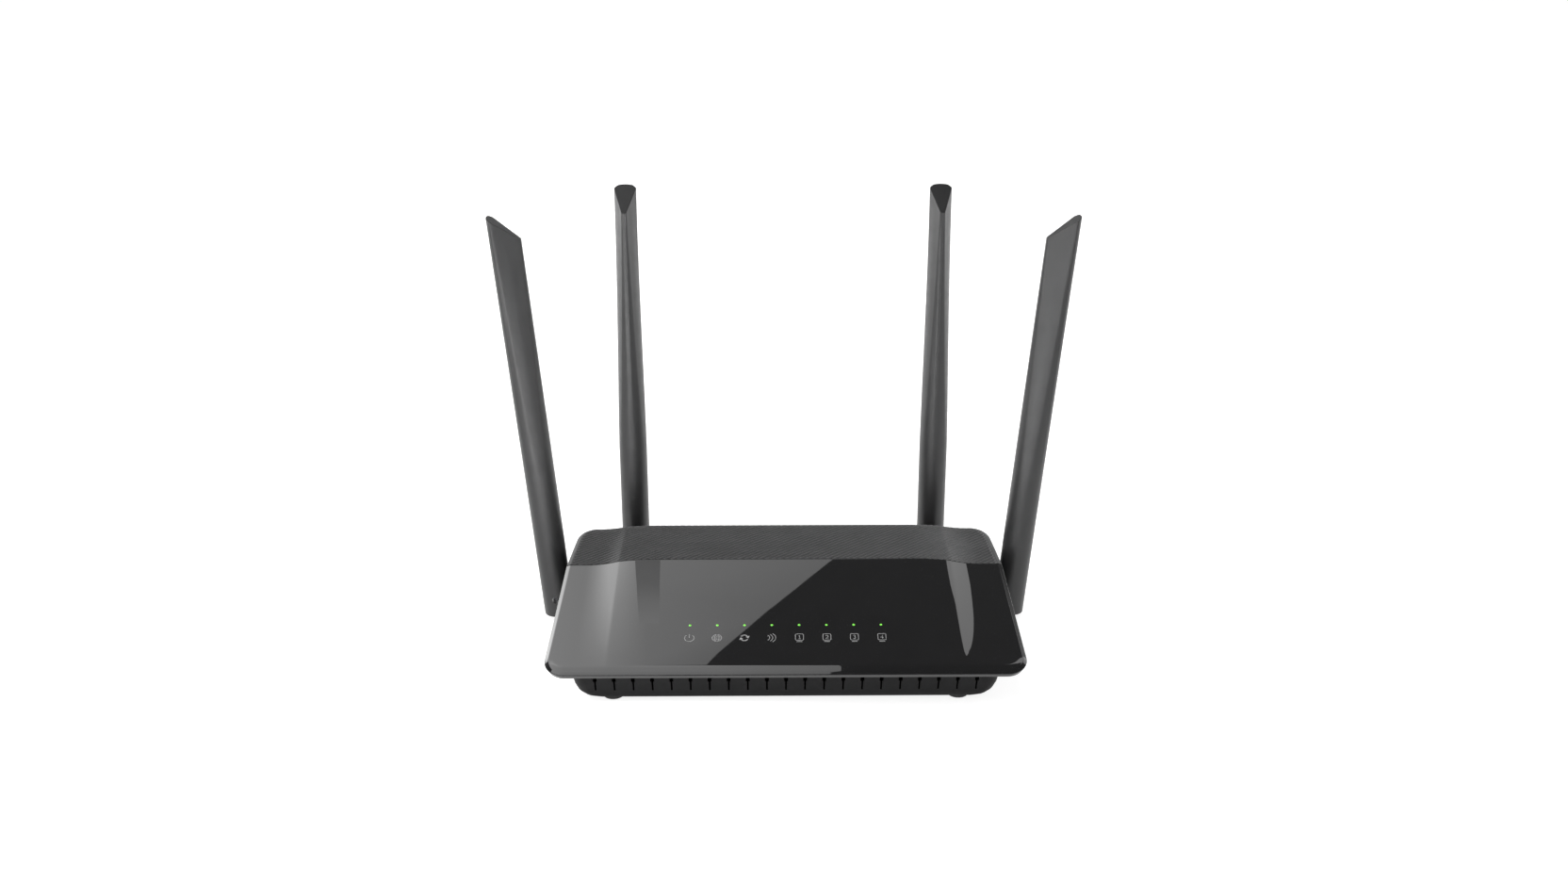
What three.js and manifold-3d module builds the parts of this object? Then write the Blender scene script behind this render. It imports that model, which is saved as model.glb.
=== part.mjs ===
// Wireless router: a low wedge-shaped desktop case with four hinged stick antennas.
// Millimetres, +Z up. The front faces -Y, +X is to the right seen from the front, and the feet
// stand on Z = 0. "Case" coordinates measure Y from the front edge of the top cover; the whole
// group is shifted at the end, so that the origin is under the middle of the bounding box.

import * as THREE from "three";
import { mergeVertices } from "three/addons/utils/BufferGeometryUtils.js";
import Module from "manifold-3d";

const wasm = await Module();
wasm.setup();

// ---------------------------------------------------------------- driving dimensions

const GAP = 0.3; // clearance between pieces that touch

// Outline of the top shell, seen from above
const SHELL_HALF_WIDTH = 110;
const SHELL_DEPTH = 133;
const SHELL_TAPER = 0.0443; // half-width lost per millimetre of depth
const FRONT_CORNER_R = 10;
const REAR_CORNER_R = 24;

// Section of the top shell, along the depth
const SEAM_Y = 76.4; // the gloss cover ends here and the textured panel begins
const FALL_START_Y = 98; // the side edges start to fall from here
const ROLL_START_Y = 117; // the rear edge rolls down from here
const FRONT_EDGE_Z = 18.3;
const SEAM_EDGE_Z = 37.7;
const REAR_EDGE_Z = 37.3;
const LIP_DEPTH = 4; // front facet, before the raised middle begins
const LIP_RISE = 0.6; // top surface above the widest line, at the very front
const BEVEL_WIDTH = 1.8;
const BEVEL_RISE_FRONT = 1.4; // the same, where the lip ends
const BEVEL_RISE_SEAM = 0.6; // the same, at the seam and behind it
const EDGE_UNDERCUT = 1.3; // chamfer below the widest line
const EDGE_DROP = 2.3;
const SHELL_THICKNESS = 2.4;
const REAR_RIM_Z = 26.5; // the rolled rear edge ends here
const ROLL_ROWS = 4;

// The raised middle of the top shell, between two creases
const CREASE_X = 81.6;
const CREASE_ROUNDING = 18; // the middle starts to fall this far inside the crease
const CREASE_FOOT = 15; // the slope outside the crease ends this far out
const CREASE_SHARE = 0.35; // part of the step that falls inside the crease
const STEP_FRONT = 0.2;
const STEP_SEAM = 2.9;
const STEP_REAR = 2.4;

// Where the shell is sampled, across and along the depth
const COLUMN_STOPS = [0, 40, 63.6, 72, 78, CREASE_X, 86, 91, 97];
const FIRST_ROW_Y = 1.2;
const COVER_ROWS = [FIRST_ROW_Y, LIP_DEPTH, 6.5, FRONT_CORNER_R, 44, SEAM_Y];
const PANEL_ROWS = [SEAM_Y + GAP, FALL_START_Y, 109, ROLL_START_Y];
const TRIM_ROWS = [FIRST_ROW_Y, LIP_DEPTH, FRONT_CORNER_R, SEAM_Y, FALL_START_Y, ROLL_START_Y];

// Base tray
const WALL = 2;
const TRAY_BOTTOM_Z = 2;
const TRAY_FLOOR_Z = 4;
const TRAY_TOP_Z = 48; // trimmed to the shell afterwards
const REAR_WALL_TOP_Z = REAR_RIM_Z - 1.5 * GAP;
const TRAY_FRONT_Y = 4.5;
const TRAY_REAR_Y = 132.5;
const TRAY_FRONT_CORNER_R = 6;
const TRAY_REAR_CORNER_R = 20;
const TRAY_CORNER_STEPS = 4;
const TRIM_MARGIN = 10; // the cutter that trims the walls reaches this far beyond them
const TRAY_LEVELS = [
  // height, half-width, inset of the front, inset of the rear
  [TRAY_BOTTOM_Z, 90.5, 5.9, 2.5],
  [2.9, 93.2, 5, 1],
  [5, 95.6, 4.3, 0.2],
  [9, 97.1, 2.8, 0],
  [16, 98.1, 0, 0],
  [TRAY_TOP_Z, 98.1, 0, 0],
];

// Front vents: a hole at the top of a narrow slit
const VENT_COUNT = 21;
const VENT_PITCH = 8.7;
const VENT_HOLE = [1.8, 3];
const VENT_SLIT = [0.8, 8.6];
const VENT_TOP_Z = 15;
const VENT_REACH = 12; // depth of the cut through the leaning wall

// Floor slots and wall-hanging keyholes
const SLOT_COUNT = 11;
const SLOT_PITCH = 10;
const SLOT_SIZE = [2, 26];
const SLOT_Y = 52;
const KEYHOLE_X = 52;
const KEYHOLE_Y = 96;
const KEYHOLE_R = 4;
const KEYHOLE_SLOT = [4.2, 9];

// Main board
const BOARD_Z = 8;
const BOARD_THICKNESS = 1.6;
const BOARD_HALF_WIDTH = 70;
const BOARD_FRONT_Y = 22;
const BOARD_REAR_Y = 129.6;
const BOARD_TOP_Z = BOARD_Z + BOARD_THICKNESS;
const PART_Z = BOARD_TOP_Z + GAP; // parts on the board stand here
const STANDOFF_R = 3.5;
const STANDOFFS = [
  [-64, 30],
  [64, 30],
  [-64, 92],
  [64, 92],
];

// Indicators
const LED_COUNT = 8;
const LED_PITCH = 12.71;
const LED_Y = 30.2;
const LED_CHIP = [1.6, 1, 0.8];
const PIPE_R = 0.8;
const WINDOW_R = 1.1;
const PIPE_SIDES = 8;
const GUIDE_BAR = [96, 3, 2];
const GUIDE_BAR_Z = 21;

// Rear connectors and buttons, placed along X
const JACK_SIZE = [15.6, 21, 13.2];
const JACK_CAVITY = [11.9, 12.5, 8.2];
const JACK_LATCH = [6.2, 12.5, 1.8];
const JACK_CAVITY_Z = 1.6; // above the bottom of the jack
const WAN_X = 27;
const LAN_X = [5, -11.5, -28, -44.5];
const DC_X = 60;
const DC_SIZE = [9, 14, 10.8];
const DC_BORE_R = 3.2;
const DC_BORE_DEPTH = 9.5;
const DC_PIN_R = 1;
const PORT_CLEARANCE = 0.4;

// Buttons of the rear wall: a cap in the wall, a stem behind it, and its switch on the board
const BUTTON_Z = 15.5;
const CAP_DEPTH = 6.5;
const STEM_DEPTH = 4;
const STEM_SIZE = 3; // across, unless the cap is too narrow for it
const STEM_SHARE = 0.7;
const BUTTONS = [
  { name: "power", x: 45.5, size: 7, proud: 2.4, travel: 1.8, round: false, body: [8, 8, 10] },
  { name: "wps", x: -58.5, size: 5, proud: 1, travel: 0.8, round: true, body: [6, 4, 9] },
  { name: "reset", x: -66.5, size: 2.2, proud: -1, travel: 0.5, round: true, body: [4.5, 4, 9] },
];

// Parts on the board: size, and the middle of the bottom face
const CHIP_HEIGHT = 1.4;
const MAIN_CHIP_PLACE = [0, 66];
const SMALL_PARTS = [
  { name: "main_chip", size: [15, 15, CHIP_HEIGHT], at: MAIN_CHIP_PLACE },
  { name: "memory_chip", size: [9, 13, 1.1], at: [22, 66] },
  { name: "flash_chip", size: [8, 6, 1.7], at: [-20, 84] },
  { name: "wan_transformer", size: [13, 8, 5.5], at: [WAN_X, 102] },
  { name: "lan_transformer", size: [28, 8, 5.5], at: [-20, 102] },
  { name: "power_inductor", size: [8, 8, 4], at: [50, 92] },
];
const SHIELD_CANS = [
  { name: "radio_shield_left", size: [30, 24, 3], at: [-46, 64] },
  { name: "radio_shield_right", size: [30, 24, 3], at: [50, 64] },
];
const SHIELD_CHAMFER = 0.6;
const CAPACITORS = [
  { name: "capacitor_1", at: [60, 104] },
  { name: "capacitor_2", at: [50, 104] },
];
const CAPACITOR_R = 4;
const CAPACITOR_HEIGHT = 11;
const SINK_WIDTH = 26;
const SINK_HEIGHT = 9;
const SINK_BASE = 2;
const FIN_COUNT = 6;
const FIN_WIDTH = 1.2;

// Case screws: they rise through the tray into posts of the shell
const SCREW_POINTS = [
  [-80, 28],
  [80, 28],
  [-80, 107],
  [80, 107],
];
const SCREW_R = 1.25;
const SCREW_LENGTH = 12;
const SCREW_HEAD_R = 2.5;
const SCREW_HEAD = 1.7;
const SCREW_POINT = 1; // length of the conical point
const BOSS_R = 4.2;
const BOSS_TOP_Z = 8;
const RECESS_R = 3;
const RECESS_TOP_Z = 5.4;
const POST_R = 3.2;

// Feet and label
const FOOT_R = 5;
const FOOT_SIDES = 20;
const FOOT_HEIGHT = TRAY_BOTTOM_Z - GAP;
const FEET = [
  [-79.6, 15.8],
  [79.6, 15.8],
  [-79.6, 121],
  [79.6, 121],
];
const EDGE_SOFTENING = 0.6; // chamfer of a foot and of a screw head
const LABEL_SIZE = [62, 26, 0.3];
const LABEL_Y = 92;

// Antennas
const ANTENNA_LENGTH = 205.4;
const ANTENNA_R = 7.45; // from the ridge to the back
const ANTENNA_FLATNESS = 0.97; // width across, against that depth
const ANTENNA_KNEE = 68; // round below, slowly becoming a wedge above
const ANTENNA_END_CHAMFER = 0.7;
const TIP_RIDGE_HALF = 1.15;
const TIP_BACK_HALF = 6.4;
const TIP_CORNER_CUT = 1.6;
const TIP_FALL = 12; // the cut tip falls this much from its back to its ridge
const SECTION_SHARES = [0, 0.25, 0.5, 0.75, 1]; // of the way from the knee to the tip
const RING_ANGLES = [0, 8.8, 30, 55, 75, 95, 115, 130, 140, 150, 165]; // from the ridge
const PIVOT_HEIGHT = 9.5; // pivot above the lower end
const PIN_R = 1.5;
const PIN_HALF_LENGTH = 6.2;
const TONGUE_HALF = 3.1;
const TONGUE_R = 4.9;
const SLOT_HALF = TONGUE_HALF + GAP;
const SLOT_R = TONGUE_R + 0.5;
const ELEMENT_BORE_R = 3;
const ELEMENT_TOP = 165; // above the lower end
const LOWER_BORE_R = 5;
const LOWER_BORE_TOP = 88; // above the lower end
const ELEMENT_SIZE = [3.2, 0.8];
const ELEMENT_CLEARANCE = 2; // at each end of the bore

// Swivel knuckle, measured along its axis from the pivot towards the case
const COLLAR_NEAR = 12.2;
const COLLAR_R = 6.8;
const BOSS_REACH = 16.5; // outer face of the case's bearing boss
const BEARING_LENGTH = 10.8;
const BARREL_R = 5;
const BEARING_R = 5.3;
const FLANGE_R = 6.6;
const FLANGE_THICKNESS = 1.5;
const LEAD_HOLE_R = 1;
const LEAD_HOLE_DEPTH = 8;
const BEARING_BOSS_R = 8.5;

// Where the antennas stand
const SIDE_X = 115.35;
const SIDE_Y = 97;
const SIDE_Z = 12.6;
const SIDE_LEAN = 4.8; // degrees, outwards
const REAR_X = 79.2;
const REAR_Y = 150;
const REAR_Z = 15;
const ANTENNAS = [
  // turn: from the antenna's own frame to the case, in degrees
  { name: "left_side", pivot: [-SIDE_X, SIDE_Y, SIDE_Z], turn: 180, lean: SIDE_LEAN },
  { name: "right_side", pivot: [SIDE_X, SIDE_Y, SIDE_Z], turn: 0, lean: SIDE_LEAN },
  { name: "left_rear", pivot: [-REAR_X, REAR_Y, REAR_Z], turn: 90, lean: 0 },
  { name: "right_rear", pivot: [REAR_X, REAR_Y, REAR_Z], turn: 90, lean: 0 },
];

// Antenna leads: each starts beside a radio shield and ends inside its knuckle
const LEAD_R = 0.65;
const LEAD_STEPS = 14;
const LEAD_START_GAP = 3; // from the shield
const LEAD_START_Y_SIDE = -4; // from the middle of the shield
const LEAD_START_Y_REAR = 9;
const LEAD_LIFT = [4, 5, 2.5]; // from the start to the first bend
const LEAD_INSIDE = 2; // length inside the flange
const LEAD_STRAIGHT = 4; // straight length behind the flange
const LEAD_BEND_X = 74; // the rear leads pass between a screw post and the board here
const LEAD_BEND_Y = 104;
const LEAD_BEND_HEIGHT = 3;

const CURVE_SIDES = 10;

// ---------------------------------------------------------------- colours and finishes

const finish = (color, roughness, metalness = 0) =>
  new THREE.MeshStandardMaterial({ color, roughness, metalness });

const GLOSS_BLACK = finish(0x141415, 0.08);
const TEXTURED_BLACK = finish(0x2a2a2b, 0.5);
const MATTE_BLACK = finish(0x1b1b1c, 0.55);
const ANTENNA_BLACK = finish(0x2c2c2d, 0.5);
const RUBBER_BLACK = finish(0x101010, 0.85);
const CLEAR_GUIDE = finish(0x6fdc4a, 0.2);
const BOARD_GREEN = finish(0x1d5a33, 0.5);
const CHIP_BLACK = finish(0x0e0e0f, 0.45);
const TINNED_STEEL = finish(0xb9bbbc, 0.35, 1);
const ALUMINIUM = finish(0xa7a9ab, 0.4, 1);
const COPPER = finish(0xb87333, 0.4, 1);
const JACK_BLACK = finish(0x19191a, 0.45);
const WAN_BLUE = finish(0x1f4f8c, 0.45);
const LABEL_GREY = finish(0xc8c8c6, 0.7);
const CAPACITOR_SLEEVE = finish(0x23283a, 0.4);
const LEAD_GREY = finish(0x6a6a6c, 0.5);

// ---------------------------------------------------------------- booleans and small helpers

function toSolid(geometry) {
  const plain = geometry.clone();
  plain.deleteAttribute("normal");
  plain.deleteAttribute("uv");
  const merged = mergeVertices(plain, 1e-4);
  return new wasm.Manifold(
    new wasm.Mesh({
      numProp: 3,
      vertProperties: merged.attributes.position.array,
      triVerts: merged.index.array,
    }),
  );
}

function toGeometry(solid) {
  const mesh = solid.getMesh();
  const geometry = new THREE.BufferGeometry();
  const positions = new Float32Array(mesh.vertProperties);
  geometry.setAttribute("position", new THREE.BufferAttribute(positions, 3));
  geometry.setIndex(new THREE.BufferAttribute(new Uint32Array(mesh.triVerts), 1));
  geometry.computeVertexNormals();
  return geometry;
}

function joined(solids) {
  return solids.reduce((all, next) => all.add(next));
}

function without(solid, cutters) {
  return cutters.reduce((rest, cutter) => rest.subtract(cutter), solid);
}

function named(name, geometry, material) {
  const mesh = new THREE.Mesh(geometry, material);
  mesh.name = name;
  return mesh;
}

// A box from its size and the middle of its bottom face
function boxAt([width, depth, height], [x, y, z]) {
  return new THREE.BoxGeometry(width, depth, height).translate(x, y, z + height / 2);
}

function boxSolid(size, place) {
  return toSolid(boxAt(size, place));
}

// An upright cylinder from the middle of its bottom face
function cylinderAt(radius, height, [x, y, z], sides = CURVE_SIDES) {
  const geometry = new THREE.CylinderGeometry(radius, radius, height, sides);
  return geometry.rotateX(Math.PI / 2).translate(x, y, z + height / 2);
}

function cylinderSolid(radius, height, place, sides) {
  return toSolid(cylinderAt(radius, height, place, sides));
}

// A cylinder along X, from x0 to x1, about the X axis
function barX(radius, x0, x1, sides = CURVE_SIDES) {
  const geometry = new THREE.CylinderGeometry(radius, radius, x1 - x0, sides);
  return geometry.rotateZ(Math.PI / 2).translate((x0 + x1) / 2, 0, 0);
}

// A cylinder along Y, from y0 to y1, about the Y axis
function barY(radius, y0, y1, sides = CURVE_SIDES) {
  const geometry = new THREE.CylinderGeometry(radius, radius, y1 - y0, sides);
  return geometry.translate(0, (y0 + y1) / 2, 0);
}

function mix(a, b, t) {
  return a + (b - a) * Math.min(1, Math.max(0, t));
}

// A closed solid between two grids of points with the same rows and columns
function sheetSolid(topRows, bottomRows) {
  const rows = topRows.length;
  const columns = topRows[0].length;
  const last = columns - 1;
  const positions = [...topRows.flat(), ...bottomRows.flat()].flat();
  const top = (r, c) => r * columns + c;
  const bottom = (r, c) => rows * columns + top(r, c);
  const index = [];
  const quad = (a, b, c, d) => index.push(a, b, c, a, c, d);
  for (let r = 0; r < rows - 1; r += 1) {
    for (let c = 0; c < columns - 1; c += 1) {
      quad(top(r, c), top(r, c + 1), top(r + 1, c + 1), top(r + 1, c));
      quad(bottom(r, c), bottom(r + 1, c), bottom(r + 1, c + 1), bottom(r, c + 1));
    }
    quad(top(r, 0), top(r + 1, 0), bottom(r + 1, 0), bottom(r, 0));
    quad(top(r + 1, last), top(r, last), bottom(r, last), bottom(r + 1, last));
  }
  for (let c = 0; c < columns - 1; c += 1) {
    quad(top(0, c + 1), top(0, c), bottom(0, c), bottom(0, c + 1));
    quad(top(rows - 1, c), top(rows - 1, c + 1), bottom(rows - 1, c + 1), bottom(rows - 1, c));
  }
  const geometry = new THREE.BufferGeometry();
  geometry.setAttribute("position", new THREE.Float32BufferAttribute(positions, 3));
  geometry.setIndex(index);
  return toSolid(geometry);
}

// A closed solid through rings of points, lowest first, each ring anticlockwise from above
function loftSolid(rings) {
  const count = rings[0].length;
  const positions = rings.flat(2);
  const index = [];
  for (let r = 0; r < rings.length - 1; r += 1) {
    for (let i = 0; i < count; i += 1) {
      const j = (i + 1) % count;
      const low = r * count;
      const high = low + count;
      index.push(low + i, low + j, high + j, low + i, high + j, high + i);
    }
  }
  const last = (rings.length - 1) * count;
  for (let i = 1; i < count - 1; i += 1) {
    index.push(0, i + 1, i);
    index.push(last, last + i, last + i + 1);
  }
  const geometry = new THREE.BufferGeometry();
  geometry.setAttribute("position", new THREE.Float32BufferAttribute(positions, 3));
  geometry.setIndex(index);
  return toSolid(geometry);
}

// ---------------------------------------------------------------- top shell surface

function cornerInset(radius, overrun) {
  return overrun <= 0 ? 0 : radius - Math.sqrt(Math.max(0, radius * radius - overrun * overrun));
}

// Half of the shell's width at a depth
function shellHalfWidth(y) {
  const straight = SHELL_HALF_WIDTH - SHELL_TAPER * Math.max(0, y - FRONT_CORNER_R);
  const front = cornerInset(FRONT_CORNER_R, FRONT_CORNER_R - y);
  const rear = cornerInset(REAR_CORNER_R, y - (SHELL_DEPTH - REAR_CORNER_R));
  return straight - front - rear;
}

// Height of the shell's widest line
function edgeHeight(y) {
  if (y < SEAM_Y) return mix(FRONT_EDGE_Z, SEAM_EDGE_Z, y / SEAM_Y);
  return mix(SEAM_EDGE_Z, REAR_EDGE_Z, (y - FALL_START_Y) / (ROLL_START_Y - FALL_START_Y));
}

// Height of the top surface above the widest line
function bevelRise(y) {
  if (y < LIP_DEPTH) return mix(LIP_RISE, BEVEL_RISE_FRONT, y / LIP_DEPTH);
  return mix(BEVEL_RISE_FRONT, BEVEL_RISE_SEAM, (y - LIP_DEPTH) / (SEAM_Y - LIP_DEPTH));
}

// How far the middle stands above the shoulders
function stepHeight(y) {
  if (y < LIP_DEPTH) return 0;
  if (y < SEAM_Y) return mix(STEP_FRONT, STEP_SEAM, (y - LIP_DEPTH) / (SEAM_Y - LIP_DEPTH));
  return mix(STEP_SEAM, STEP_REAR, (y - SEAM_Y) / (ROLL_START_Y - SEAM_Y));
}

// Share of the step that is left at a distance from the middle
function stepShare(x) {
  const inside = Math.max(0, (Math.abs(x) - (CREASE_X - CREASE_ROUNDING)) / CREASE_ROUNDING);
  if (inside < 1) return 1 - CREASE_SHARE * inside * inside;
  const outside = Math.min(1, (Math.abs(x) - CREASE_X) / CREASE_FOOT);
  return (1 - CREASE_SHARE) * (1 - outside) ** 2;
}

// Height of the top surface, away from its bevelled edges
function topHeight(x, y) {
  return edgeHeight(y) + bevelRise(y) + stepHeight(y) * stepShare(x);
}

// One row of the shell: the points on top, and the points underneath
function shellRow(y, rollAngle = 0) {
  const half = shellHalfWidth(y);
  const innerY = y - SHELL_THICKNESS * Math.sin(rollAngle);
  const bevel = Math.min(BEVEL_WIDTH, half / 8);
  const room = Math.min(1, (half - bevel) / (COLUMN_STOPS.at(-1) + 1));
  const stops = [...COLUMN_STOPS.map((stop) => stop * room), half - bevel];
  const sides = [...stops.slice(1).reverse().map((stop) => -stop), ...stops];
  const rolled = (z) => mix(REAR_RIM_Z, z, Math.cos(rollAngle));
  const height = (x) => topHeight(x, Math.min(y, ROLL_START_Y));
  const edgeZ = rolled(edgeHeight(y));
  const top = sides.map((x) => [x, y, rolled(height(x))]);
  const under = sides.map((x) => [x, innerY, rolled(height(x) - SHELL_THICKNESS)]);
  const underEdge = half - EDGE_UNDERCUT;
  const underZ = rolled(edgeHeight(y) - EDGE_DROP);
  return {
    top: [[-half, y, edgeZ], ...top, [half, y, edgeZ]],
    under: [[-underEdge, innerY, underZ], ...under, [underEdge, innerY, underZ]],
  };
}

// The front edge closes the shell with a thin band
function frontRow() {
  const row = shellRow(0);
  const top = row.top.map(([x]) => [x, 0, FRONT_EDGE_Z]);
  const under = row.under.map(([x]) => [x, EDGE_UNDERCUT, FRONT_EDGE_Z - EDGE_DROP]);
  return { top, under };
}

function rowsSolid(rows) {
  return sheetSolid(
    rows.map((row) => row.top),
    rows.map((row) => row.under),
  );
}

// Rows of the rolled rear edge, from its start to its lowest line
function rollRows() {
  const rows = [];
  for (let i = 1; i <= ROLL_ROWS; i += 1) {
    const rollAngle = (i / ROLL_ROWS) * (Math.PI / 2);
    const y = ROLL_START_Y + (SHELL_DEPTH - ROLL_START_Y) * Math.sin(rollAngle);
    rows.push(shellRow(y, rollAngle));
  }
  return rows;
}

// A post that hangs from the shell and takes a case screw
function shellPost([x, y]) {
  const base = BOSS_TOP_Z + GAP;
  const reach = topHeight(x, y) - SHELL_THICKNESS / 2 - base;
  const post = cylinderSolid(POST_R, reach, [x, y, base]);
  const pilotDepth = RECESS_TOP_Z + SCREW_LENGTH + 2 * GAP - base;
  const pilot = cylinderSolid(SCREW_R + GAP, pilotDepth + 1, [x, y, base - 1]);
  return { post, pilot };
}

function withPosts(shell, points) {
  const posts = points.map(shellPost);
  const solid = joined([shell, ...posts.map(({ post }) => post)]);
  return without(
    solid,
    posts.map(({ pilot }) => pilot),
  );
}

function ledX(i) {
  return (i - (LED_COUNT - 1) / 2) * LED_PITCH;
}

// Holes in the cover over the light pipes
function ledWindows() {
  const windows = [];
  for (let i = 0; i < LED_COUNT; i += 1) {
    windows.push(cylinderSolid(WINDOW_R, SEAM_EDGE_Z, [ledX(i), LED_Y, GUIDE_BAR_Z], PIPE_SIDES));
  }
  return windows;
}

function topCover() {
  const rows = [frontRow(), ...COVER_ROWS.map((y) => shellRow(y))];
  const shell = withPosts(rowsSolid(rows), SCREW_POINTS.slice(0, 2));
  return toGeometry(without(shell, ledWindows()));
}

function rearPanel() {
  const rows = [...PANEL_ROWS.map((y) => shellRow(y)), ...rollRows()];
  return toGeometry(withPosts(rowsSolid(rows), SCREW_POINTS.slice(2)));
}

// ---------------------------------------------------------------- base tray

// A rounded rectangle, anticlockwise from above
function roundedRing(halfWidth, front, rear, inset, z) {
  const frontR = TRAY_FRONT_CORNER_R - inset;
  const rearR = TRAY_REAR_CORNER_R - inset;
  const corners = [
    [halfWidth - frontR, front + frontR, frontR, -90],
    [halfWidth - rearR, rear - rearR, rearR, 0],
    [rearR - halfWidth, rear - rearR, rearR, 90],
    [frontR - halfWidth, front + frontR, frontR, 180],
  ];
  const ring = [];
  for (const [cx, cy, radius, start] of corners) {
    for (let i = 0; i <= TRAY_CORNER_STEPS; i += 1) {
      const angle = THREE.MathUtils.degToRad(start + (90 * i) / TRAY_CORNER_STEPS);
      ring.push([cx + radius * Math.cos(angle), cy + radius * Math.sin(angle), z]);
    }
  }
  return ring;
}

// Rings of the tray's surface, moved inwards by a wall thickness
function trayRings(levels, inset) {
  return levels.map(([z, half, front, rear]) =>
    roundedRing(half - inset, TRAY_FRONT_Y + front + inset, TRAY_REAR_Y - rear - inset, inset, z),
  );
}

function trayOuter() {
  return loftSolid(trayRings(TRAY_LEVELS, 0));
}

// The hollow starts at the floor, with the width that the tray has a little higher up
function trayInner() {
  const [, , floorLevel, ...upper] = TRAY_LEVELS;
  const floor = [TRAY_FLOOR_Z, ...floorLevel.slice(1)];
  const rim = [TRAY_TOP_Z + 1, ...TRAY_LEVELS.at(-1).slice(1)];
  return loftSolid(trayRings([floor, ...upper, rim], WALL));
}

// Everything above the shell's underside, which trims the tray's walls
function trimAbove() {
  const rows = [...TRIM_ROWS.map((y) => shellRow(y)), ...rollRows()];
  const bottoms = rows.map(({ under }) =>
    under.map(([x, y, z], i) => {
      const outermost = i === 0 || i === under.length - 1;
      const beyond = outermost ? Math.sign(x) * TRIM_MARGIN : 0;
      const lowest = y > SEAM_Y ? REAR_WALL_TOP_Z : 0;
      return [x + beyond, y, Math.max(lowest, z - 1.5 * GAP)];
    }),
  );
  const moved = (row, y) => row.map(([x, , z]) => [x, y, z]);
  bottoms.unshift(moved(bottoms[0], -1));
  bottoms.push(moved(bottoms.at(-1), SHELL_DEPTH + 2));
  const tops = bottoms.map((row) => row.map(([x, y]) => [x, y, TRAY_TOP_Z + TRIM_MARGIN]));
  return sheetSolid(tops, bottoms);
}

function frontVents() {
  const vents = [];
  const y = TRAY_FRONT_Y + VENT_REACH / 4;
  for (let i = 0; i < VENT_COUNT; i += 1) {
    const x = (i - (VENT_COUNT - 1) / 2) * VENT_PITCH;
    for (const [width, height] of [VENT_HOLE, VENT_SLIT]) {
      vents.push(boxSolid([width, VENT_REACH, height], [x, y, VENT_TOP_Z - height]));
    }
  }
  return vents;
}

function floorOpenings() {
  const cuts = [];
  for (let i = 0; i < SLOT_COUNT; i += 1) {
    const x = (i - (SLOT_COUNT - 1) / 2) * SLOT_PITCH;
    cuts.push(boxSolid([...SLOT_SIZE, 3 * WALL], [x, SLOT_Y, 0]));
  }
  for (const x of [-KEYHOLE_X, KEYHOLE_X]) {
    const [slotWidth, slotLength] = KEYHOLE_SLOT;
    cuts.push(cylinderSolid(KEYHOLE_R, 3 * WALL, [x, KEYHOLE_Y, 0]));
    cuts.push(boxSolid([slotWidth, slotLength, 3 * WALL], [x, KEYHOLE_Y + slotLength / 2, 0]));
  }
  return cuts;
}

// Openings of the rear wall for the jacks and the buttons
function rearOpenings() {
  const y = TRAY_REAR_Y;
  const cut = (x, width, height, z) => boxSolid([width, 3 * WALL, height], [x, y, z]);
  const frame = PORT_CLEARANCE;
  const cuts = [WAN_X, ...LAN_X].map((x) =>
    cut(x, JACK_SIZE[0] + 2 * frame, JACK_SIZE[2] + 2 * frame, PART_Z - frame),
  );
  cuts.push(cut(DC_X, DC_SIZE[0] + 2 * frame, DC_SIZE[2] + 2 * frame, PART_Z - frame));
  for (const { x, size } of BUTTONS) {
    const opening = size + 2 * frame;
    cuts.push(cut(x, opening, opening, BUTTON_Z - opening / 2));
  }
  return cuts;
}

function screwBosses() {
  const bosses = SCREW_POINTS.map(([x, y]) =>
    cylinderSolid(BOSS_R, BOSS_TOP_Z - TRAY_BOTTOM_Z, [x, y, TRAY_BOTTOM_Z]),
  );
  const holes = SCREW_POINTS.flatMap(([x, y]) => [
    cylinderSolid(RECESS_R, RECESS_TOP_Z, [x, y, 0]),
    cylinderSolid(SCREW_R + GAP, BOSS_TOP_Z + 1, [x, y, 0]),
  ]);
  return { bosses, holes };
}

function standoffs() {
  const height = BOARD_Z - GAP - TRAY_BOTTOM_Z;
  return STANDOFFS.map(([x, y]) => cylinderSolid(STANDOFF_R, height, [x, y, TRAY_BOTTOM_Z], 8));
}

// The bearing boss of one antenna, in the knuckle's own frame
function bearing() {
  const inner = -(BOSS_REACH + BEARING_LENGTH);
  const boss = toSolid(barX(BEARING_BOSS_R, inner, -BOSS_REACH, 20));
  const bore = toSolid(barX(BEARING_R, inner - 1, 1, 16));
  const recess = toSolid(barX(FLANGE_R + GAP, inner - 2 * FLANGE_THICKNESS, inner, 16));
  return { boss, bore: bore.add(recess) };
}

function baseTray() {
  const shellAbove = trimAbove();
  const { bosses, holes } = screwBosses();
  const hollow = without(trayOuter(), [trayInner(), shellAbove]);
  const bearings = ANTENNAS.map((antenna) => {
    const { boss, bore } = bearing();
    const matrix = antennaPlace(antenna).toArray();
    return { boss: boss.transform(matrix), bore: bore.transform(matrix) };
  });
  const solid = joined([hollow, ...bosses, ...standoffs(), ...bearings.map(({ boss }) => boss)]);
  return toGeometry(
    without(solid, [
      ...holes,
      ...bearings.map(({ bore }) => bore),
      ...frontVents(),
      ...floorOpenings(),
      ...rearOpenings(),
    ]),
  );
}

// ---------------------------------------------------------------- board and its parts

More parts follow.
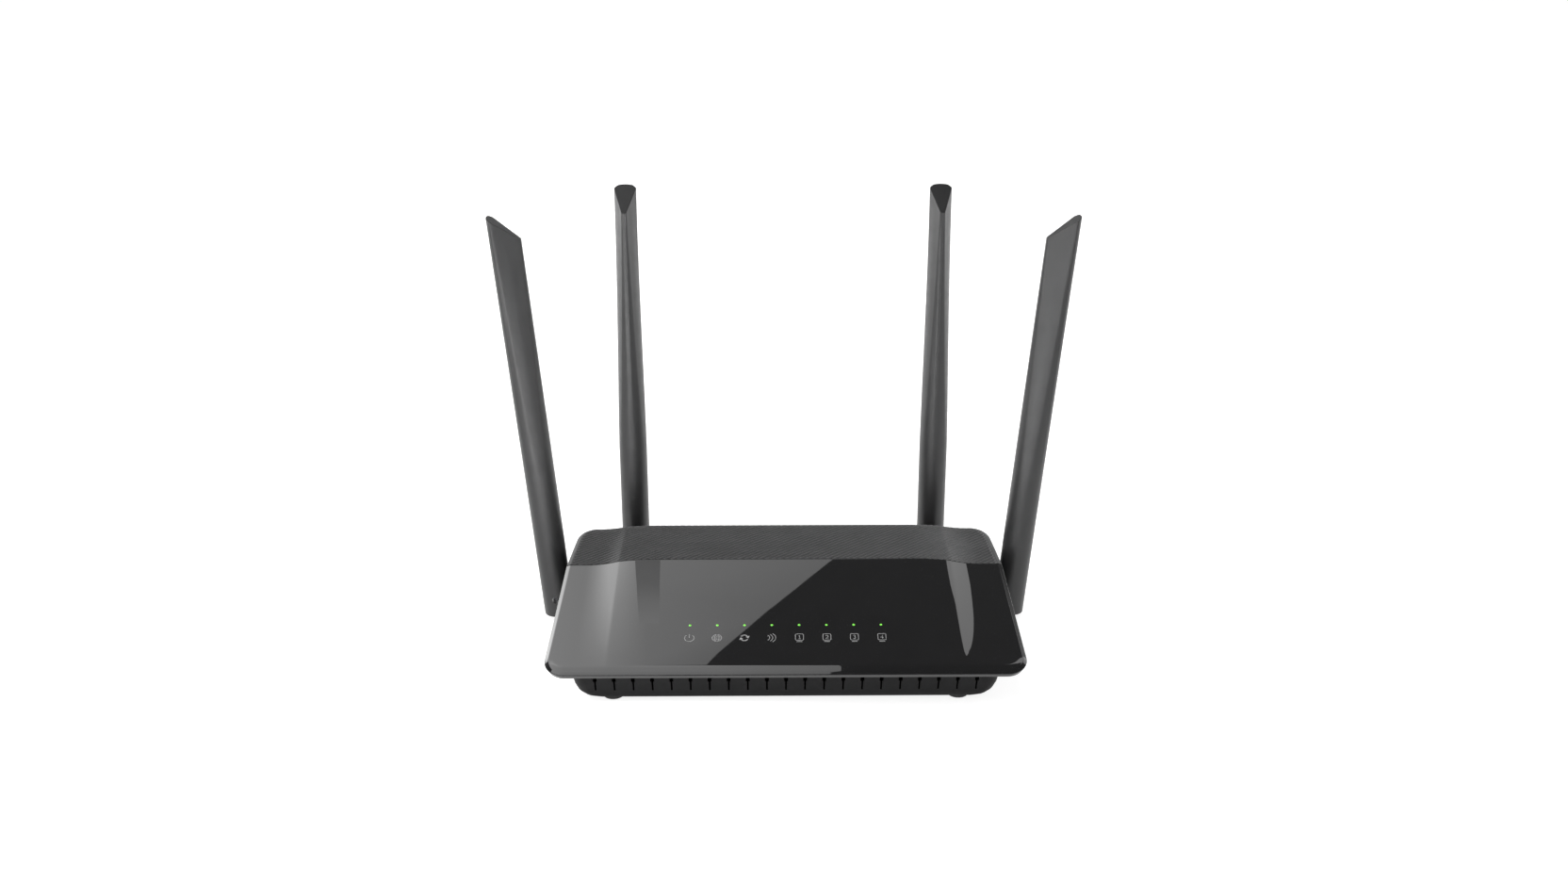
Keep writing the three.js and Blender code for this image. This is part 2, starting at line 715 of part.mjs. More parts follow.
function mainBoard() {
  const depth = BOARD_REAR_Y - BOARD_FRONT_Y;
  const size = [2 * BOARD_HALF_WIDTH, depth, BOARD_THICKNESS];
  const board = boxSolid(size, [0, BOARD_FRONT_Y + depth / 2, BOARD_Z]);
  const chips = [];
  for (let i = 0; i < LED_COUNT; i += 1) {
    chips.push(boxSolid(LED_CHIP, [ledX(i), LED_Y, BOARD_TOP_Z - LED_CHIP[2] / 2]));
  }
  return toGeometry(joined([board, ...chips]));
}

function lightGuide() {
  const bar = boxSolid(GUIDE_BAR, [0, LED_Y, GUIDE_BAR_Z]);
  const low = BOARD_TOP_Z + LED_CHIP[2];
  const high = topHeight(0, LED_Y) - GAP;
  const pipes = [];
  for (let i = 0; i < LED_COUNT; i += 1) {
    pipes.push(cylinderSolid(PIPE_R, high - low, [ledX(i), LED_Y, low], PIPE_SIDES));
  }
  return toGeometry(joined([bar, ...pipes]));
}

// An eight-contact jack with its mouth in the rear wall
function dataJack(x) {
  const [width, depth, height] = JACK_SIZE;
  const mouthY = TRAY_REAR_Y - GAP;
  const body = boxSolid([width, depth, height], [x, mouthY - depth / 2, PART_Z]);
  const cavityY = mouthY - JACK_CAVITY[1] / 2 + 1;
  const cavityZ = PART_Z + JACK_CAVITY_Z;
  const cavity = boxSolid([JACK_CAVITY[0], JACK_CAVITY[1] + 2, JACK_CAVITY[2]], [x, cavityY, cavityZ]);
  const latchZ = cavityZ + JACK_CAVITY[2] - 0.1;
  const latch = boxSolid([JACK_LATCH[0], JACK_LATCH[1] + 2, JACK_LATCH[2]], [x, cavityY, latchZ]);
  return toGeometry(without(body, [cavity, latch]));
}

function powerJack() {
  const [width, depth, height] = DC_SIZE;
  const mouthY = TRAY_REAR_Y - GAP;
  const body = boxSolid([width, depth, height], [DC_X, mouthY - depth / 2, PART_Z]);
  const axisZ = PART_Z + height / 2;
  const bore = toSolid(barY(DC_BORE_R, mouthY - DC_BORE_DEPTH, mouthY + 1, 16).translate(DC_X, 0, axisZ));
  const pin = toSolid(barY(DC_PIN_R, mouthY - DC_BORE_DEPTH - 1, mouthY - 1, 8).translate(DC_X, 0, axisZ));
  return toGeometry(without(body, [bore]).add(pin));
}

// The cap reaches back from its face at Y = 0
function capGeometry({ round, size }) {
  if (round) return barY(size / 2, -CAP_DEPTH, 0, 12);
  return new THREE.BoxGeometry(size, CAP_DEPTH, size).translate(0, -CAP_DEPTH / 2, 0);
}

function buttonCap(button) {
  const cap = toSolid(capGeometry(button));
  const stemSize = Math.min(STEM_SIZE, button.size * STEM_SHARE);
  const stemY = -CAP_DEPTH - (STEM_DEPTH - 1) / 2;
  const stem = boxSolid([stemSize, STEM_DEPTH + 1, stemSize], [0, stemY, -stemSize / 2]);
  const faceY = TRAY_REAR_Y + button.proud;
  return toGeometry(cap.add(stem)).translate(button.x, faceY, BUTTON_Z);
}

function switchBody(button) {
  const [width, depth, height] = button.body;
  const stemEnd = TRAY_REAR_Y + button.proud - CAP_DEPTH - STEM_DEPTH;
  const frontFace = stemEnd - button.travel - 2 * GAP;
  return boxAt([width, depth, height], [button.x, frontFace - depth / 2, PART_Z]);
}

// A finned block, drawn from the front and extruded along the depth
function heatsink() {
  const half = SINK_WIDTH / 2;
  const pitch = (SINK_WIDTH - FIN_WIDTH) / (FIN_COUNT - 1);
  const outline = new THREE.Shape();
  outline.moveTo(-half, 0);
  outline.lineTo(half, 0);
  for (let i = FIN_COUNT - 1; i >= 0; i -= 1) {
    const left = -half + i * pitch;
    outline.lineTo(left + FIN_WIDTH, SINK_HEIGHT);
    outline.lineTo(left, SINK_HEIGHT);
    if (i > 0) {
      outline.lineTo(left, SINK_BASE);
      outline.lineTo(left - pitch + FIN_WIDTH, SINK_BASE);
    }
  }
  outline.closePath();
  const geometry = new THREE.ExtrudeGeometry(outline, { depth: SINK_WIDTH, bevelEnabled: false });
  return geometry.rotateX(Math.PI / 2).translate(0, half, 0);
}

// A can with chamfered upper edges
function shieldCan([width, depth, height]) {
  const ring = (inset, z) => [
    [-width / 2 + inset, -depth / 2 + inset, z],
    [width / 2 - inset, -depth / 2 + inset, z],
    [width / 2 - inset, depth / 2 - inset, z],
    [-width / 2 + inset, depth / 2 - inset, z],
  ];
  const rings = [ring(0, 0), ring(0, height - SHIELD_CHAMFER), ring(SHIELD_CHAMFER, height)];
  return toGeometry(loftSolid(rings));
}

// An upright turned part from its profile of [radius, height] points
function turned(profile, sides = CURVE_SIDES) {
  const points = profile.map(([radius, height]) => new THREE.Vector2(radius, height));
  return new THREE.LatheGeometry(points, sides).rotateX(Math.PI / 2);
}

// A can with a groove near its foot
function capacitor() {
  return turned([
    [0, 0],
    [CAPACITOR_R, 0],
    [CAPACITOR_R, 1.2],
    [CAPACITOR_R - 0.4, 1.7],
    [CAPACITOR_R, 2.2],
    [CAPACITOR_R, CAPACITOR_HEIGHT - 0.5],
    [CAPACITOR_R - 0.5, CAPACITOR_HEIGHT],
    [0, CAPACITOR_HEIGHT],
  ]);
}

function boardParts() {
  const parts = SMALL_PARTS.map(({ name, size, at }) =>
    named(name, boxAt(size, [...at, PART_Z]), CHIP_BLACK),
  );
  for (const { name, size, at } of SHIELD_CANS) {
    parts.push(named(name, shieldCan(size).translate(...at, PART_Z), TINNED_STEEL));
  }
  for (const { name, at } of CAPACITORS) {
    parts.push(named(name, capacitor().translate(...at, PART_Z), CAPACITOR_SLEEVE));
  }
  const sinkZ = PART_Z + CHIP_HEIGHT + GAP;
  parts.push(named("heatsink", heatsink().translate(...MAIN_CHIP_PLACE, sinkZ), ALUMINIUM));
  parts.push(named("wan_jack", dataJack(WAN_X), WAN_BLUE));
  LAN_X.forEach((x, i) => parts.push(named(`lan_jack_${i + 1}`, dataJack(x), JACK_BLACK)));
  parts.push(named("power_jack", powerJack(), JACK_BLACK));
  for (const button of BUTTONS) {
    parts.push(named(`${button.name}_switch`, switchBody(button), CHIP_BLACK));
    parts.push(named(`${button.name}_button`, buttonCap(button), MATTE_BLACK));
  }
  return parts;
}

// ---------------------------------------------------------------- screws, feet and label

function caseScrew() {
  return turned([
    [0, 0],
    [SCREW_HEAD_R - EDGE_SOFTENING, 0],
    [SCREW_HEAD_R, EDGE_SOFTENING],
    [SCREW_HEAD_R, SCREW_HEAD],
    [SCREW_R, SCREW_HEAD],
    [SCREW_R, SCREW_HEAD + SCREW_LENGTH - SCREW_POINT],
    [0, SCREW_HEAD + SCREW_LENGTH],
  ]);
}

function foot() {
  const profile = [
    [0, 0],
    [FOOT_R - EDGE_SOFTENING, 0],
    [FOOT_R, EDGE_SOFTENING],
    [FOOT_R, FOOT_HEIGHT],
    [0, FOOT_HEIGHT],
  ];
  return turned(profile, FOOT_SIDES);
}

function fasteners() {
  const parts = [];
  SCREW_POINTS.forEach(([x, y], i) => {
    const z = RECESS_TOP_Z - GAP - SCREW_HEAD;
    parts.push(named(`case_screw_${i + 1}`, caseScrew().translate(x, y, z), TINNED_STEEL));
  });
  FEET.forEach(([x, y], i) => {
    parts.push(named(`foot_${i + 1}`, foot().translate(x, y, 0), RUBBER_BLACK));
  });
  const label = boxAt(LABEL_SIZE, [0, LABEL_Y, TRAY_BOTTOM_Z - GAP - LABEL_SIZE[2]]);
  parts.push(named("bottom_label", label, LABEL_GREY));
  return parts;
}

// ---------------------------------------------------------------- antennas

// The antenna's own frame: origin at the pivot, Z up along the antenna, X out of the case.
// Its ridge faces the case, which is -X.

// Distance from the middle to the wedge's outline, at an angle from the ridge
function wedgeReach(angle, share) {
  const slope = Math.atan2(TIP_BACK_HALF - TIP_RIDGE_HALF, 2 * ANTENNA_R);
  const flank = TIP_RIDGE_HALF * Math.cos(slope) + ANTENNA_R * Math.sin(slope);
  const corner = Math.atan2(TIP_BACK_HALF, -ANTENNA_R);
  const cornerReach = Math.hypot(TIP_BACK_HALF, ANTENNA_R) - TIP_CORNER_CUT;
  const faces = [
    [0, ANTENNA_R],
    [Math.PI, ANTENNA_R],
    [Math.PI / 2 - slope, flank],
    [corner, cornerReach],
  ];
  const turn = Math.abs(angle);
  const reaches = faces
    .map(([normal, reach]) => [Math.cos(turn - normal), mix(ANTENNA_R, reach, share)])
    .filter(([cosine]) => cosine > 0.01)
    .map(([cosine, reach]) => reach / cosine);
  return Math.min(...reaches);
}

// Halfway between a circle that blends into the wedge and a circle that the wedge's faces cut
function sectionReach(angle, share) {
  const blended = mix(ANTENNA_R, wedgeReach(angle, 1), share);
  const cut = Math.min(ANTENNA_R, wedgeReach(angle, share));
  return (blended + cut) / 2;
}

// One ring of the housing at a share of the way from its round part to its falling wedge tip
function antennaRing(z, share, reachScale) {
  const mirrored = RING_ANGLES.slice(1).reverse().map((degrees) => -degrees);
  return [...mirrored, ...RING_ANGLES, 180].map((degrees) => {
    const angle = THREE.MathUtils.degToRad(degrees);
    const reach = sectionReach(angle, share) * reachScale;
    const x = -reach * Math.cos(angle);
    const y = -reach * Math.sin(angle) * mix(ANTENNA_FLATNESS, 1, share);
    const fall = share * TIP_FALL * (0.5 - x / (2 * ANTENNA_R));
    return [x, y, z - fall];
  });
}

function housingBody() {
  const low = -PIVOT_HEIGHT;
  const knee = low + ANTENNA_KNEE;
  const tip = low + ANTENNA_LENGTH;
  const chamfered = (ANTENNA_R - ANTENNA_END_CHAMFER) / ANTENNA_R;
  return loftSolid([
    antennaRing(low, 0, chamfered),
    antennaRing(low + ANTENNA_END_CHAMFER, 0, 1),
    ...SECTION_SHARES.map((share) => antennaRing(mix(knee, tip, share), share, 1)),
  ]);
}

// The slot for the knuckle's tongue is open towards the case and downwards
function tongueSlot() {
  const length = ANTENNA_R + 2;
  const down = PIVOT_HEIGHT + 2;
  const round = toSolid(barY(SLOT_R, -SLOT_HALF, SLOT_HALF, 24));
  const inwards = boxSolid([length, 2 * SLOT_HALF, SLOT_R + down], [-length / 2, 0, -down]);
  const downwards = boxSolid([2 * SLOT_R, 2 * SLOT_HALF, down], [0, 0, -down]);
  return joined([round, inwards, downwards]);
}

function antennaHousing() {
  const bore = cylinderSolid(ELEMENT_BORE_R, ELEMENT_TOP - PIVOT_HEIGHT, [0, 0, 0]);
  const lowerStart = SLOT_R - 0.5;
  const lowerLength = LOWER_BORE_TOP - PIVOT_HEIGHT - lowerStart;
  const lowerBore = cylinderSolid(LOWER_BORE_R, lowerLength, [0, 0, lowerStart]);
  const pinBore = toSolid(barY(PIN_R + GAP, -PIN_HALF_LENGTH - GAP, ANTENNA_R + 1));
  return toGeometry(without(housingBody(), [tongueSlot(), bore, lowerBore, pinBore]));
}

function swivelKnuckle() {
  const innerFace = -(BOSS_REACH + BEARING_LENGTH + GAP);
  const flangeEnd = innerFace - FLANGE_THICKNESS;
  const collar = toSolid(barX(COLLAR_R, -BOSS_REACH + GAP, -COLLAR_NEAR, 20));
  const barrel = toSolid(barX(BARREL_R, innerFace - 1, -COLLAR_NEAR - 1, 16));
  const flange = toSolid(barX(FLANGE_R, flangeEnd, innerFace, 16));
  const tongueLength = COLLAR_NEAR + 1;
  const tongueSize = [tongueLength, 2 * TONGUE_HALF, 2 * TONGUE_R];
  const tongue = boxSolid(tongueSize, [-tongueLength / 2, 0, -TONGUE_R]);
  const tip = toSolid(barY(TONGUE_R, -TONGUE_HALF, TONGUE_HALF, 20));
  const pinBore = toSolid(barY(PIN_R + GAP, -TONGUE_HALF - 1, TONGUE_HALF + 1));
  const leadHole = toSolid(barX(LEAD_HOLE_R, flangeEnd - 1, flangeEnd + LEAD_HOLE_DEPTH, 8));
  return toGeometry(without(joined([collar, barrel, flange, tongue, tip]), [pinBore, leadHole]));
}

function hingePin() {
  return barY(PIN_R, -PIN_HALF_LENGTH, PIN_HALF_LENGTH);
}

// The strip stands in the housing's bore, above the hinge
function antennaElement() {
  const start = SLOT_R + ELEMENT_CLEARANCE;
  const length = ELEMENT_TOP - PIVOT_HEIGHT - start - ELEMENT_CLEARANCE;
  return boxAt([...ELEMENT_SIZE, length], [0, 0, start]);
}

// From an antenna's own frame to the case
function antennaPlace({ pivot, turn }) {
  const matrix = new THREE.Matrix4().makeRotationZ(THREE.MathUtils.degToRad(turn));
  return matrix.setPosition(...pivot);
}

function antennaGroup(antenna) {
  const { name, lean } = antenna;
  const group = new THREE.Group();
  group.applyMatrix4(antennaPlace(antenna));
  group.add(named(`${name}_knuckle`, swivelKnuckle(), ANTENNA_BLACK));
  const arm = new THREE.Group();
  arm.rotation.y = THREE.MathUtils.degToRad(lean);
  arm.add(named(`${name}_antenna`, antennaHousing(), ANTENNA_BLACK));
  arm.add(named(`${name}_hinge_pin`, hingePin(), TINNED_STEEL));
  arm.add(named(`${name}_element`, antennaElement(), COPPER));
  group.add(arm);
  return group;
}

// The points that a lead passes, from the board to the middle of its knuckle
function leadPoints(antenna) {
  const isRear = antenna.name.endsWith("rear");
  const side = Math.sign(antenna.pivot[0]);
  const can = SHIELD_CANS[side < 0 ? 0 : 1];
  const startX = can.at[0] + side * (can.size[0] / 2 + LEAD_START_GAP);
  const startY = can.at[1] + (isRear ? LEAD_START_Y_REAR : LEAD_START_Y_SIDE);
  const [liftX, liftY, liftZ] = LEAD_LIFT;
  const points = [
    new THREE.Vector3(startX, startY, PART_Z + LEAD_R),
    new THREE.Vector3(startX + side * liftX, startY + liftY, PART_Z + liftZ),
  ];
  if (isRear) {
    points.push(new THREE.Vector3(side * LEAD_BEND_X, LEAD_BEND_Y, PART_Z + LEAD_BEND_HEIGHT));
  }
  const flangeEnd = BOSS_REACH + BEARING_LENGTH + GAP + FLANGE_THICKNESS;
  for (const reach of [flangeEnd + LEAD_STRAIGHT, flangeEnd - LEAD_INSIDE]) {
    points.push(new THREE.Vector3(-reach, 0, 0).applyMatrix4(antennaPlace(antenna)));
  }
  return points;
}

// A thin coaxial lead
function antennaLead(antenna) {
  const section = new THREE.Shape();
  section.absarc(0, 0, LEAD_R, 0, 2 * Math.PI, false);
  const geometry = new THREE.ExtrudeGeometry(section, {
    steps: LEAD_STEPS,
    extrudePath: new THREE.CatmullRomCurve3(leadPoints(antenna), false, "centripetal"),
    curveSegments: 3,
    bevelEnabled: false,
  });
  return named(`${antenna.name}_lead`, geometry, LEAD_GREY);
}

// ---------------------------------------------------------------- assembly

const router = new THREE.Group();
router.add(named("base_tray", baseTray(), MATTE_BLACK));
router.add(named("top_cover", topCover(), GLOSS_BLACK));
router.add(named("rear_panel", rearPanel(), TEXTURED_BLACK));
router.add(named("main_board", mainBoard(), BOARD_GREEN));
router.add(named("light_guide", lightGuide(), CLEAR_GUIDE));
router.add(...boardParts());
router.add(...fasteners());
router.add(...ANTENNAS.map(antennaGroup));
router.add(...ANTENNAS.map(antennaLead));

// The origin goes under the middle of the bounding box
router.position.y = -(REAR_Y + ANTENNA_R) / 2;

export default router;
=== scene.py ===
"""A desktop wireless router with four stick antennas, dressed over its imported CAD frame.

Lengths are in millimetres in the case's own frame, with X to the right, Y back from the front
edge of the cover and Z up, until placed() turns them into metres in the row frame.
"""

import math

import bmesh
import bpy
from mathutils import Matrix, Vector


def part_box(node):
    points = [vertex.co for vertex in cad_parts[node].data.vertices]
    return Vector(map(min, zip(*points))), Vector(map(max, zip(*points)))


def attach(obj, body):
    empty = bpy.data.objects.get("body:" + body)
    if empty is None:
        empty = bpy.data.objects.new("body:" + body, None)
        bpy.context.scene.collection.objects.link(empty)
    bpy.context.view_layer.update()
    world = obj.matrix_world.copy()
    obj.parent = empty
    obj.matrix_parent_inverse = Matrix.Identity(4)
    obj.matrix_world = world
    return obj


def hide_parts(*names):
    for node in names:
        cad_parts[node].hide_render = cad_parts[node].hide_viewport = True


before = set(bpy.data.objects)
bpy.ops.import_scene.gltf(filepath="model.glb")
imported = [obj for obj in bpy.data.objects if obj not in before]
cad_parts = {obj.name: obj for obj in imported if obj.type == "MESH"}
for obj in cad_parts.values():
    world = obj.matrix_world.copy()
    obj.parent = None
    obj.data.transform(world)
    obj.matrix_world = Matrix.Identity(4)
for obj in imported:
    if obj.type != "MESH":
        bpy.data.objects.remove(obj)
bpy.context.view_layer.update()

MM = 0.001
FRONT_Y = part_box("top_cover")[0].y  # front edge of the cover, in the row frame

# ---------------------------------------------------------------- dimensions

# Camera
CAMERA_PLACE = (-6.67, -627.1, 359.2)
CAMERA_PITCH = 20.03  # degrees below the horizon
CAMERA_YAW = 0.52  # degrees towards +X
CAMERA_LENS = 36.0
CAMERA_SENSOR = 36.0

# Outline of the shell, seen from above
SHELL_HALF_WIDTH = 110.0
SHELL_DEPTH = 133.0
SHELL_TAPER = 0.0443  # half-width lost per millimetre of depth
FRONT_CORNER_R = 10.0
REAR_CORNER_R = 24.0

# Section of the shell, along the depth
SEAM_Y = 76.4
SEAM_GAP = 0.3
FALL_START_Y = 98.0
ROLL_START_Y = 117.0
FRONT_EDGE_Z = 18.3
SEAM_EDGE_Z = 37.7
REAR_EDGE_Z = 37.3
REAR_RIM_Z = 26.5
LIP_DEPTH = 4.0
BEVEL_WIDTH = 1.8
FRONT_BEVEL_WIDTH = 1.2
FRONT_BEVEL_SHARE = 0.6  # of the rise, reached at the end of the front bevel
RISE_FRONT = 1.4  # top surface above the widest line
RISE_SEAM = 0.6
EDGE_UNDERCUT = 1.3
EDGE_DROP = 2.3
SHELL_THICKNESS = 2.4
NOSE_ROUNDING = 0.35
BEVEL_ROUNDING = 0.3
LIP_ROUNDING = 0.7
SEAM_ROUNDING = 0.3

# The raised middle, between two creases
CREASE_X = 81.6
CREASE_INSIDE = 18.0
CREASE_OUTSIDE = 15.0
CREASE_SHARE = 0.35
CREASE_ROUNDING = 0.7
STEP_FRONT = 0.2
STEP_SEAM = 2.9
STEP_REAR = 2.4

# Ribs of the rear panel
RIBS_PER_MM_X = -0.301
RIBS_PER_MM_Y = 0.325
RIB_LEAN = 1.7  # the ribs shift forward by this much for each millimetre of the raised middle
RIB_DEPTH = 0.85
RIB_SAMPLING = 0.42
RIB_FADE = 0.8
RIB_FREE_STRIP = 2.4  # plain strip between the ribs and the sides
RIB_SHARPNESS = 1.3  # 1 leaves a sharp groove between round ribs, 2 a wave

# Indicators and icons
LED_COUNT = 8
LED_PITCH = 12.71
LED_Y = 30.2
LENS_R = 0.5
LENS_DOME = 0.12
LENS_RIM = 0.1
ICON_Y = 21.9
ICON_LIFT = 0.03
ICON_STROKE = 0.3
ICON_SAG = 48.0  # steps of a full circle

# Antennas, in their own frame: origin at the pivot, Z up along the antenna, X out of the case
ANTENNA_LENGTH = 205.4
ANTENNA_R = 7.45
ANTENNA_FLATNESS = 0.97
ANTENNA_KNEE = 68.0
ANTENNA_END_CHAMFER = 0.7
PIVOT_HEIGHT = 9.5
TIP_RIDGE_HALF = 1.15
TIP_BACK_HALF = 6.4
TIP_CORNER_CUT = 1.6
TIP_FALL = 12.0
TIP_CHAMFER = 0.3
WEDGE_SHARPNESS = 70.0
SIDE_SPECULAR = 0.5
TIP_SPECULAR = 0.12
RING_STEPS = 120
BODY_RINGS = 44
TONGUE_HALF = 3.1
TONGUE_R = 4.9
TONGUE_ROUNDING = 0.35
SLOT_HALF = TONGUE_HALF + 0.3
SLOT_R = TONGUE_R + 0.5
PIN_R = 1.5
PIN_HALF_LENGTH = 6.2
PIN_BORE_R = 1.8
BORE_OUT = 12.0  # outside the antenna

# Swivel knuckles, along their axis from the pivot towards the case
COLLAR_NEAR = 12.2
COLLAR_FAR = 16.2
COLLAR_R = 6.8
BARREL_R = 5.0
BARREL_END = 27.6
FLANGE_R = 6.6
FLANGE_END = 29.1

SIDE_PIVOT = (115.35, 97.0, 12.6)
SIDE_LEAN = 4.8
REAR_PIVOT = (79.2, 150.0, 15.0)
ANTENNAS = (
    # name, pivot, turn from the antenna's own frame to the case, outward lean
    ("left_side", (-SIDE_PIVOT[0], SIDE_PIVOT[1], SIDE_PIVOT[2]), 180, SIDE_LEAN),
    ("right_side", SIDE_PIVOT, 0, SIDE_LEAN),
    ("left_rear", (-REAR_PIVOT[0], REAR_PIVOT[1], REAR_PIVOT[2]), 90, 0),
    ("right_rear", REAR_PIVOT, 90, 0),
)

# Feet, jacks and fasteners
FOOT_R = 5.0
FOOT_HEIGHT = 1.7
FEET = ((-79.6, 15.8), (79.6, 15.8), (-79.6, 121.0), (79.6, 121.0))
JACK_X = (27.0, 5.0, -11.5, -28.0, -44.5)
JACK_MOUTH_Y = 132.2
JACK_CAVITY_TOP = 19.7
CONTACT_COUNT = 8
CONTACT_PITCH = 1.02
CONTACT_WIDTH = 0.36
CONTACT_SAG = 5.2
CONTACT_REACH = 9.5
SCREWS = ((-80.0, 28.0), (80.0, 28.0), (-80.0, 107.0), (80.0, 107.0))
SCREW_HEAD_Z = 3.4
SCREW_HEAD_R = 2.5
SCREW_HEAD_HEIGHT = 1.7
SCREW_R = 1.25
SCREW_LENGTH = 11.0

# Steps round curves, and turns that lay a turned shape along an axis
CORNER_STEPS = 32
ROLL_STEPS = 64
PIN_STEPS = 48
KNUCKLE_STEPS = 72
FOOT_STEPS = 64
SCREW_STEPS = 48
ALONG_Y = Matrix.Rotation(-math.pi / 2, 4, "X")

# ---------------------------------------------------------------- small helpers


def placed(x, y, z):
    """A point of the case's frame, in millimetres, as metres in the row frame."""
    return Vector((x * MM, y * MM + FRONT_Y, z * MM))


def mix(a, b, share):
    return a + (b - a) * min(1.0, max(0.0, share))


def smooth(share):
    share = min(1.0, max(0.0, share))
    return share * share * (3 - 2 * share)


def linked(name, data):
    """A new object in the scene."""
    obj = bpy.data.objects.new(name, data)
    bpy.context.scene.collection.objects.link(obj)
    return obj


def mesh_from(name, bm):
    mesh = bpy.data.meshes.new(name)
    bm.to_mesh(mesh)
    bm.free()
    return mesh


def new_object(name, bm, material):
    """A mesh object from a bmesh, smooth where its faces meet gently."""
    mesh = mesh_from(name, bm)
    mesh.materials.append(material)
    obj = linked(name, mesh)
    mesh.shade_smooth()
    mesh.set_sharp_from_angle(angle=math.radians(38))
    return obj


def outward(bm):
    """The bmesh, with its normals made to point outwards."""
    bmesh.ops.recalc_face_normals(bm, faces=bm.faces)
    return bm


def finish_mesh(bm):
    """The bmesh, with doubled points joined and its normals made to point outwards."""
    bmesh.ops.remove_doubles(bm, verts=bm.verts, dist=1e-6)
    bmesh.ops.dissolve_degenerate(bm, dist=1e-7, edges=bm.edges)
    return outward(bm)


def loft(bm, rows, closed=False, capped=False):
    """Quads between rows of points; closed joins each row's end to its start, capped fills the
    first and the last row."""
    made = [[bm.verts.new(p) for p in row] for row in rows]
    count = len(rows[0])
    for low, high in zip(made, made[1:]):
        for i in range(count if closed else count - 1):
            j = (i + 1) % count
            bm.faces.new((low[i], low[j], high[j], high[i]))
    if capped:
        bm.faces.new(made[0])
        bm.faces.new(made[-1])
    return made


def lathe(bm, profile, steps, matrix):
    """A closed turned shape about Z from (radius, height) points in millimetres, the first and the
    last of them on the axis. The matrix then places it."""
    points = [(radius * MM, height * MM) for radius, height in profile]
    rings = []
    for radius, height in points[1:-1]:
        ring = []
        for i in range(steps):
            angle = 2 * math.pi * i / steps
            ring.append(matrix @ Vector((radius * math.cos(angle), radius * math.sin(angle), height)))
        rings.append(ring)
    ends = [matrix @ Vector((0, 0, height)) for _, height in (points[0], points[-1])]
    made = loft(bm, rings, closed=True)
    for ring, end in ((made[0], ends[0]), (made[-1], ends[1])):
        tip = bm.verts.new(end)
        for i in range(steps):
            bm.faces.new((ring[i], ring[(i + 1) % steps], tip))


def turned(profile, steps, matrix):
    """A bmesh that holds one turned shape."""
    bm = bmesh.new()
    lathe(bm, profile, steps, matrix)
    return outward(bm)


def rounded(points, cuts, measure, steps=4, support=0.12):
    """A polyline with rounded corners, and with extra points that keep its flats flat.

    points are tuples of numbers, measure turns one into its place in millimetres, and cuts gives
    how far from each corner its rounding starts."""
    points = [Vector(p) for p in points]
    result = [points[0]]
    for before, corner, after, cut in zip(points, points[1:], points[2:], cuts):
        back = (measure(before) - measure(corner)).length
        ahead = (measure(after) - measure(corner)).length
        reach = min(cut, 0.42 * back, 0.42 * ahead)
        start = corner.lerp(before, reach / back)
        end = corner.lerp(after, reach / ahead)
        result.append(corner.lerp(before, min(0.47, (reach + support) / back)))
        for i in range(steps + 1):
            t = i / steps
            result.append(start.lerp(corner, t).lerp(corner.lerp(end, t), t))
        result.append(corner.lerp(after, min(0.47, (reach + support) / ahead)))
    result.append(points[-1])
    return result


# ---------------------------------------------------------------- materials


def add_node(tree, kind, **values):
    node = tree.nodes.new(kind)
    for name, value in values.items():
        setattr(node, name, value)
    return node


def new_material(name):
    """A node material, with its tree and its shader."""
    material = bpy.data.materials.new(name)
    material.use_nodes = True
    return material, material.node_tree, material.node_tree.nodes["Principled BSDF"]


def object_place(tree):
    return add_node(tree, "ShaderNodeTexCoord").outputs["Object"]


def noise(tree, coordinates, grain, detail=2.0):
    """Noise whose features are about grain millimetres wide."""
    node = add_node(tree, "ShaderNodeTexNoise")
    node.inputs["Scale"].default_value = 1 / (grain * MM)
    node.inputs["Detail"].default_value = detail
    tree.links.new(coordinates, node.inputs["Vector"])
    return node.outputs["Fac"]


def ramp(tree, factor, low, high, start=0.3, end=0.7):
    """A number that goes from low to high as factor goes from start to end."""
    node = add_node(tree, "ShaderNodeMapRange")
    node.inputs["From Min"].default_value = start
    node.inputs["From Max"].default_value = end
    node.inputs["To Min"].default_value = low
    node.inputs["To Max"].default_value = high
    tree.links.new(factor, node.inputs["Value"])
    return node.outputs["Result"]


def blended(tree, factor, low, high):
    """A colour that goes from low to high with a factor."""
    node = add_node(tree, "ShaderNodeMix", data_type="RGBA")
    node.inputs["A"].default_value = (*low, 1)
    node.inputs["B"].default_value = (*high, 1)
    tree.links.new(factor, node.inputs["Factor"])
    return node.outputs["Result"]


def bump(tree, height, depth, previous=None):
    """A normal for relief of a depth in millimetres."""
    node = add_node(tree, "ShaderNodeBump")
    node.inputs["Distance"].default_value = depth * MM
    tree.links.new(height, node.inputs["Height"])
    if previous is not None:
        tree.links.new(previous, node.inputs["Normal"])
    return node.outputs["Normal"]


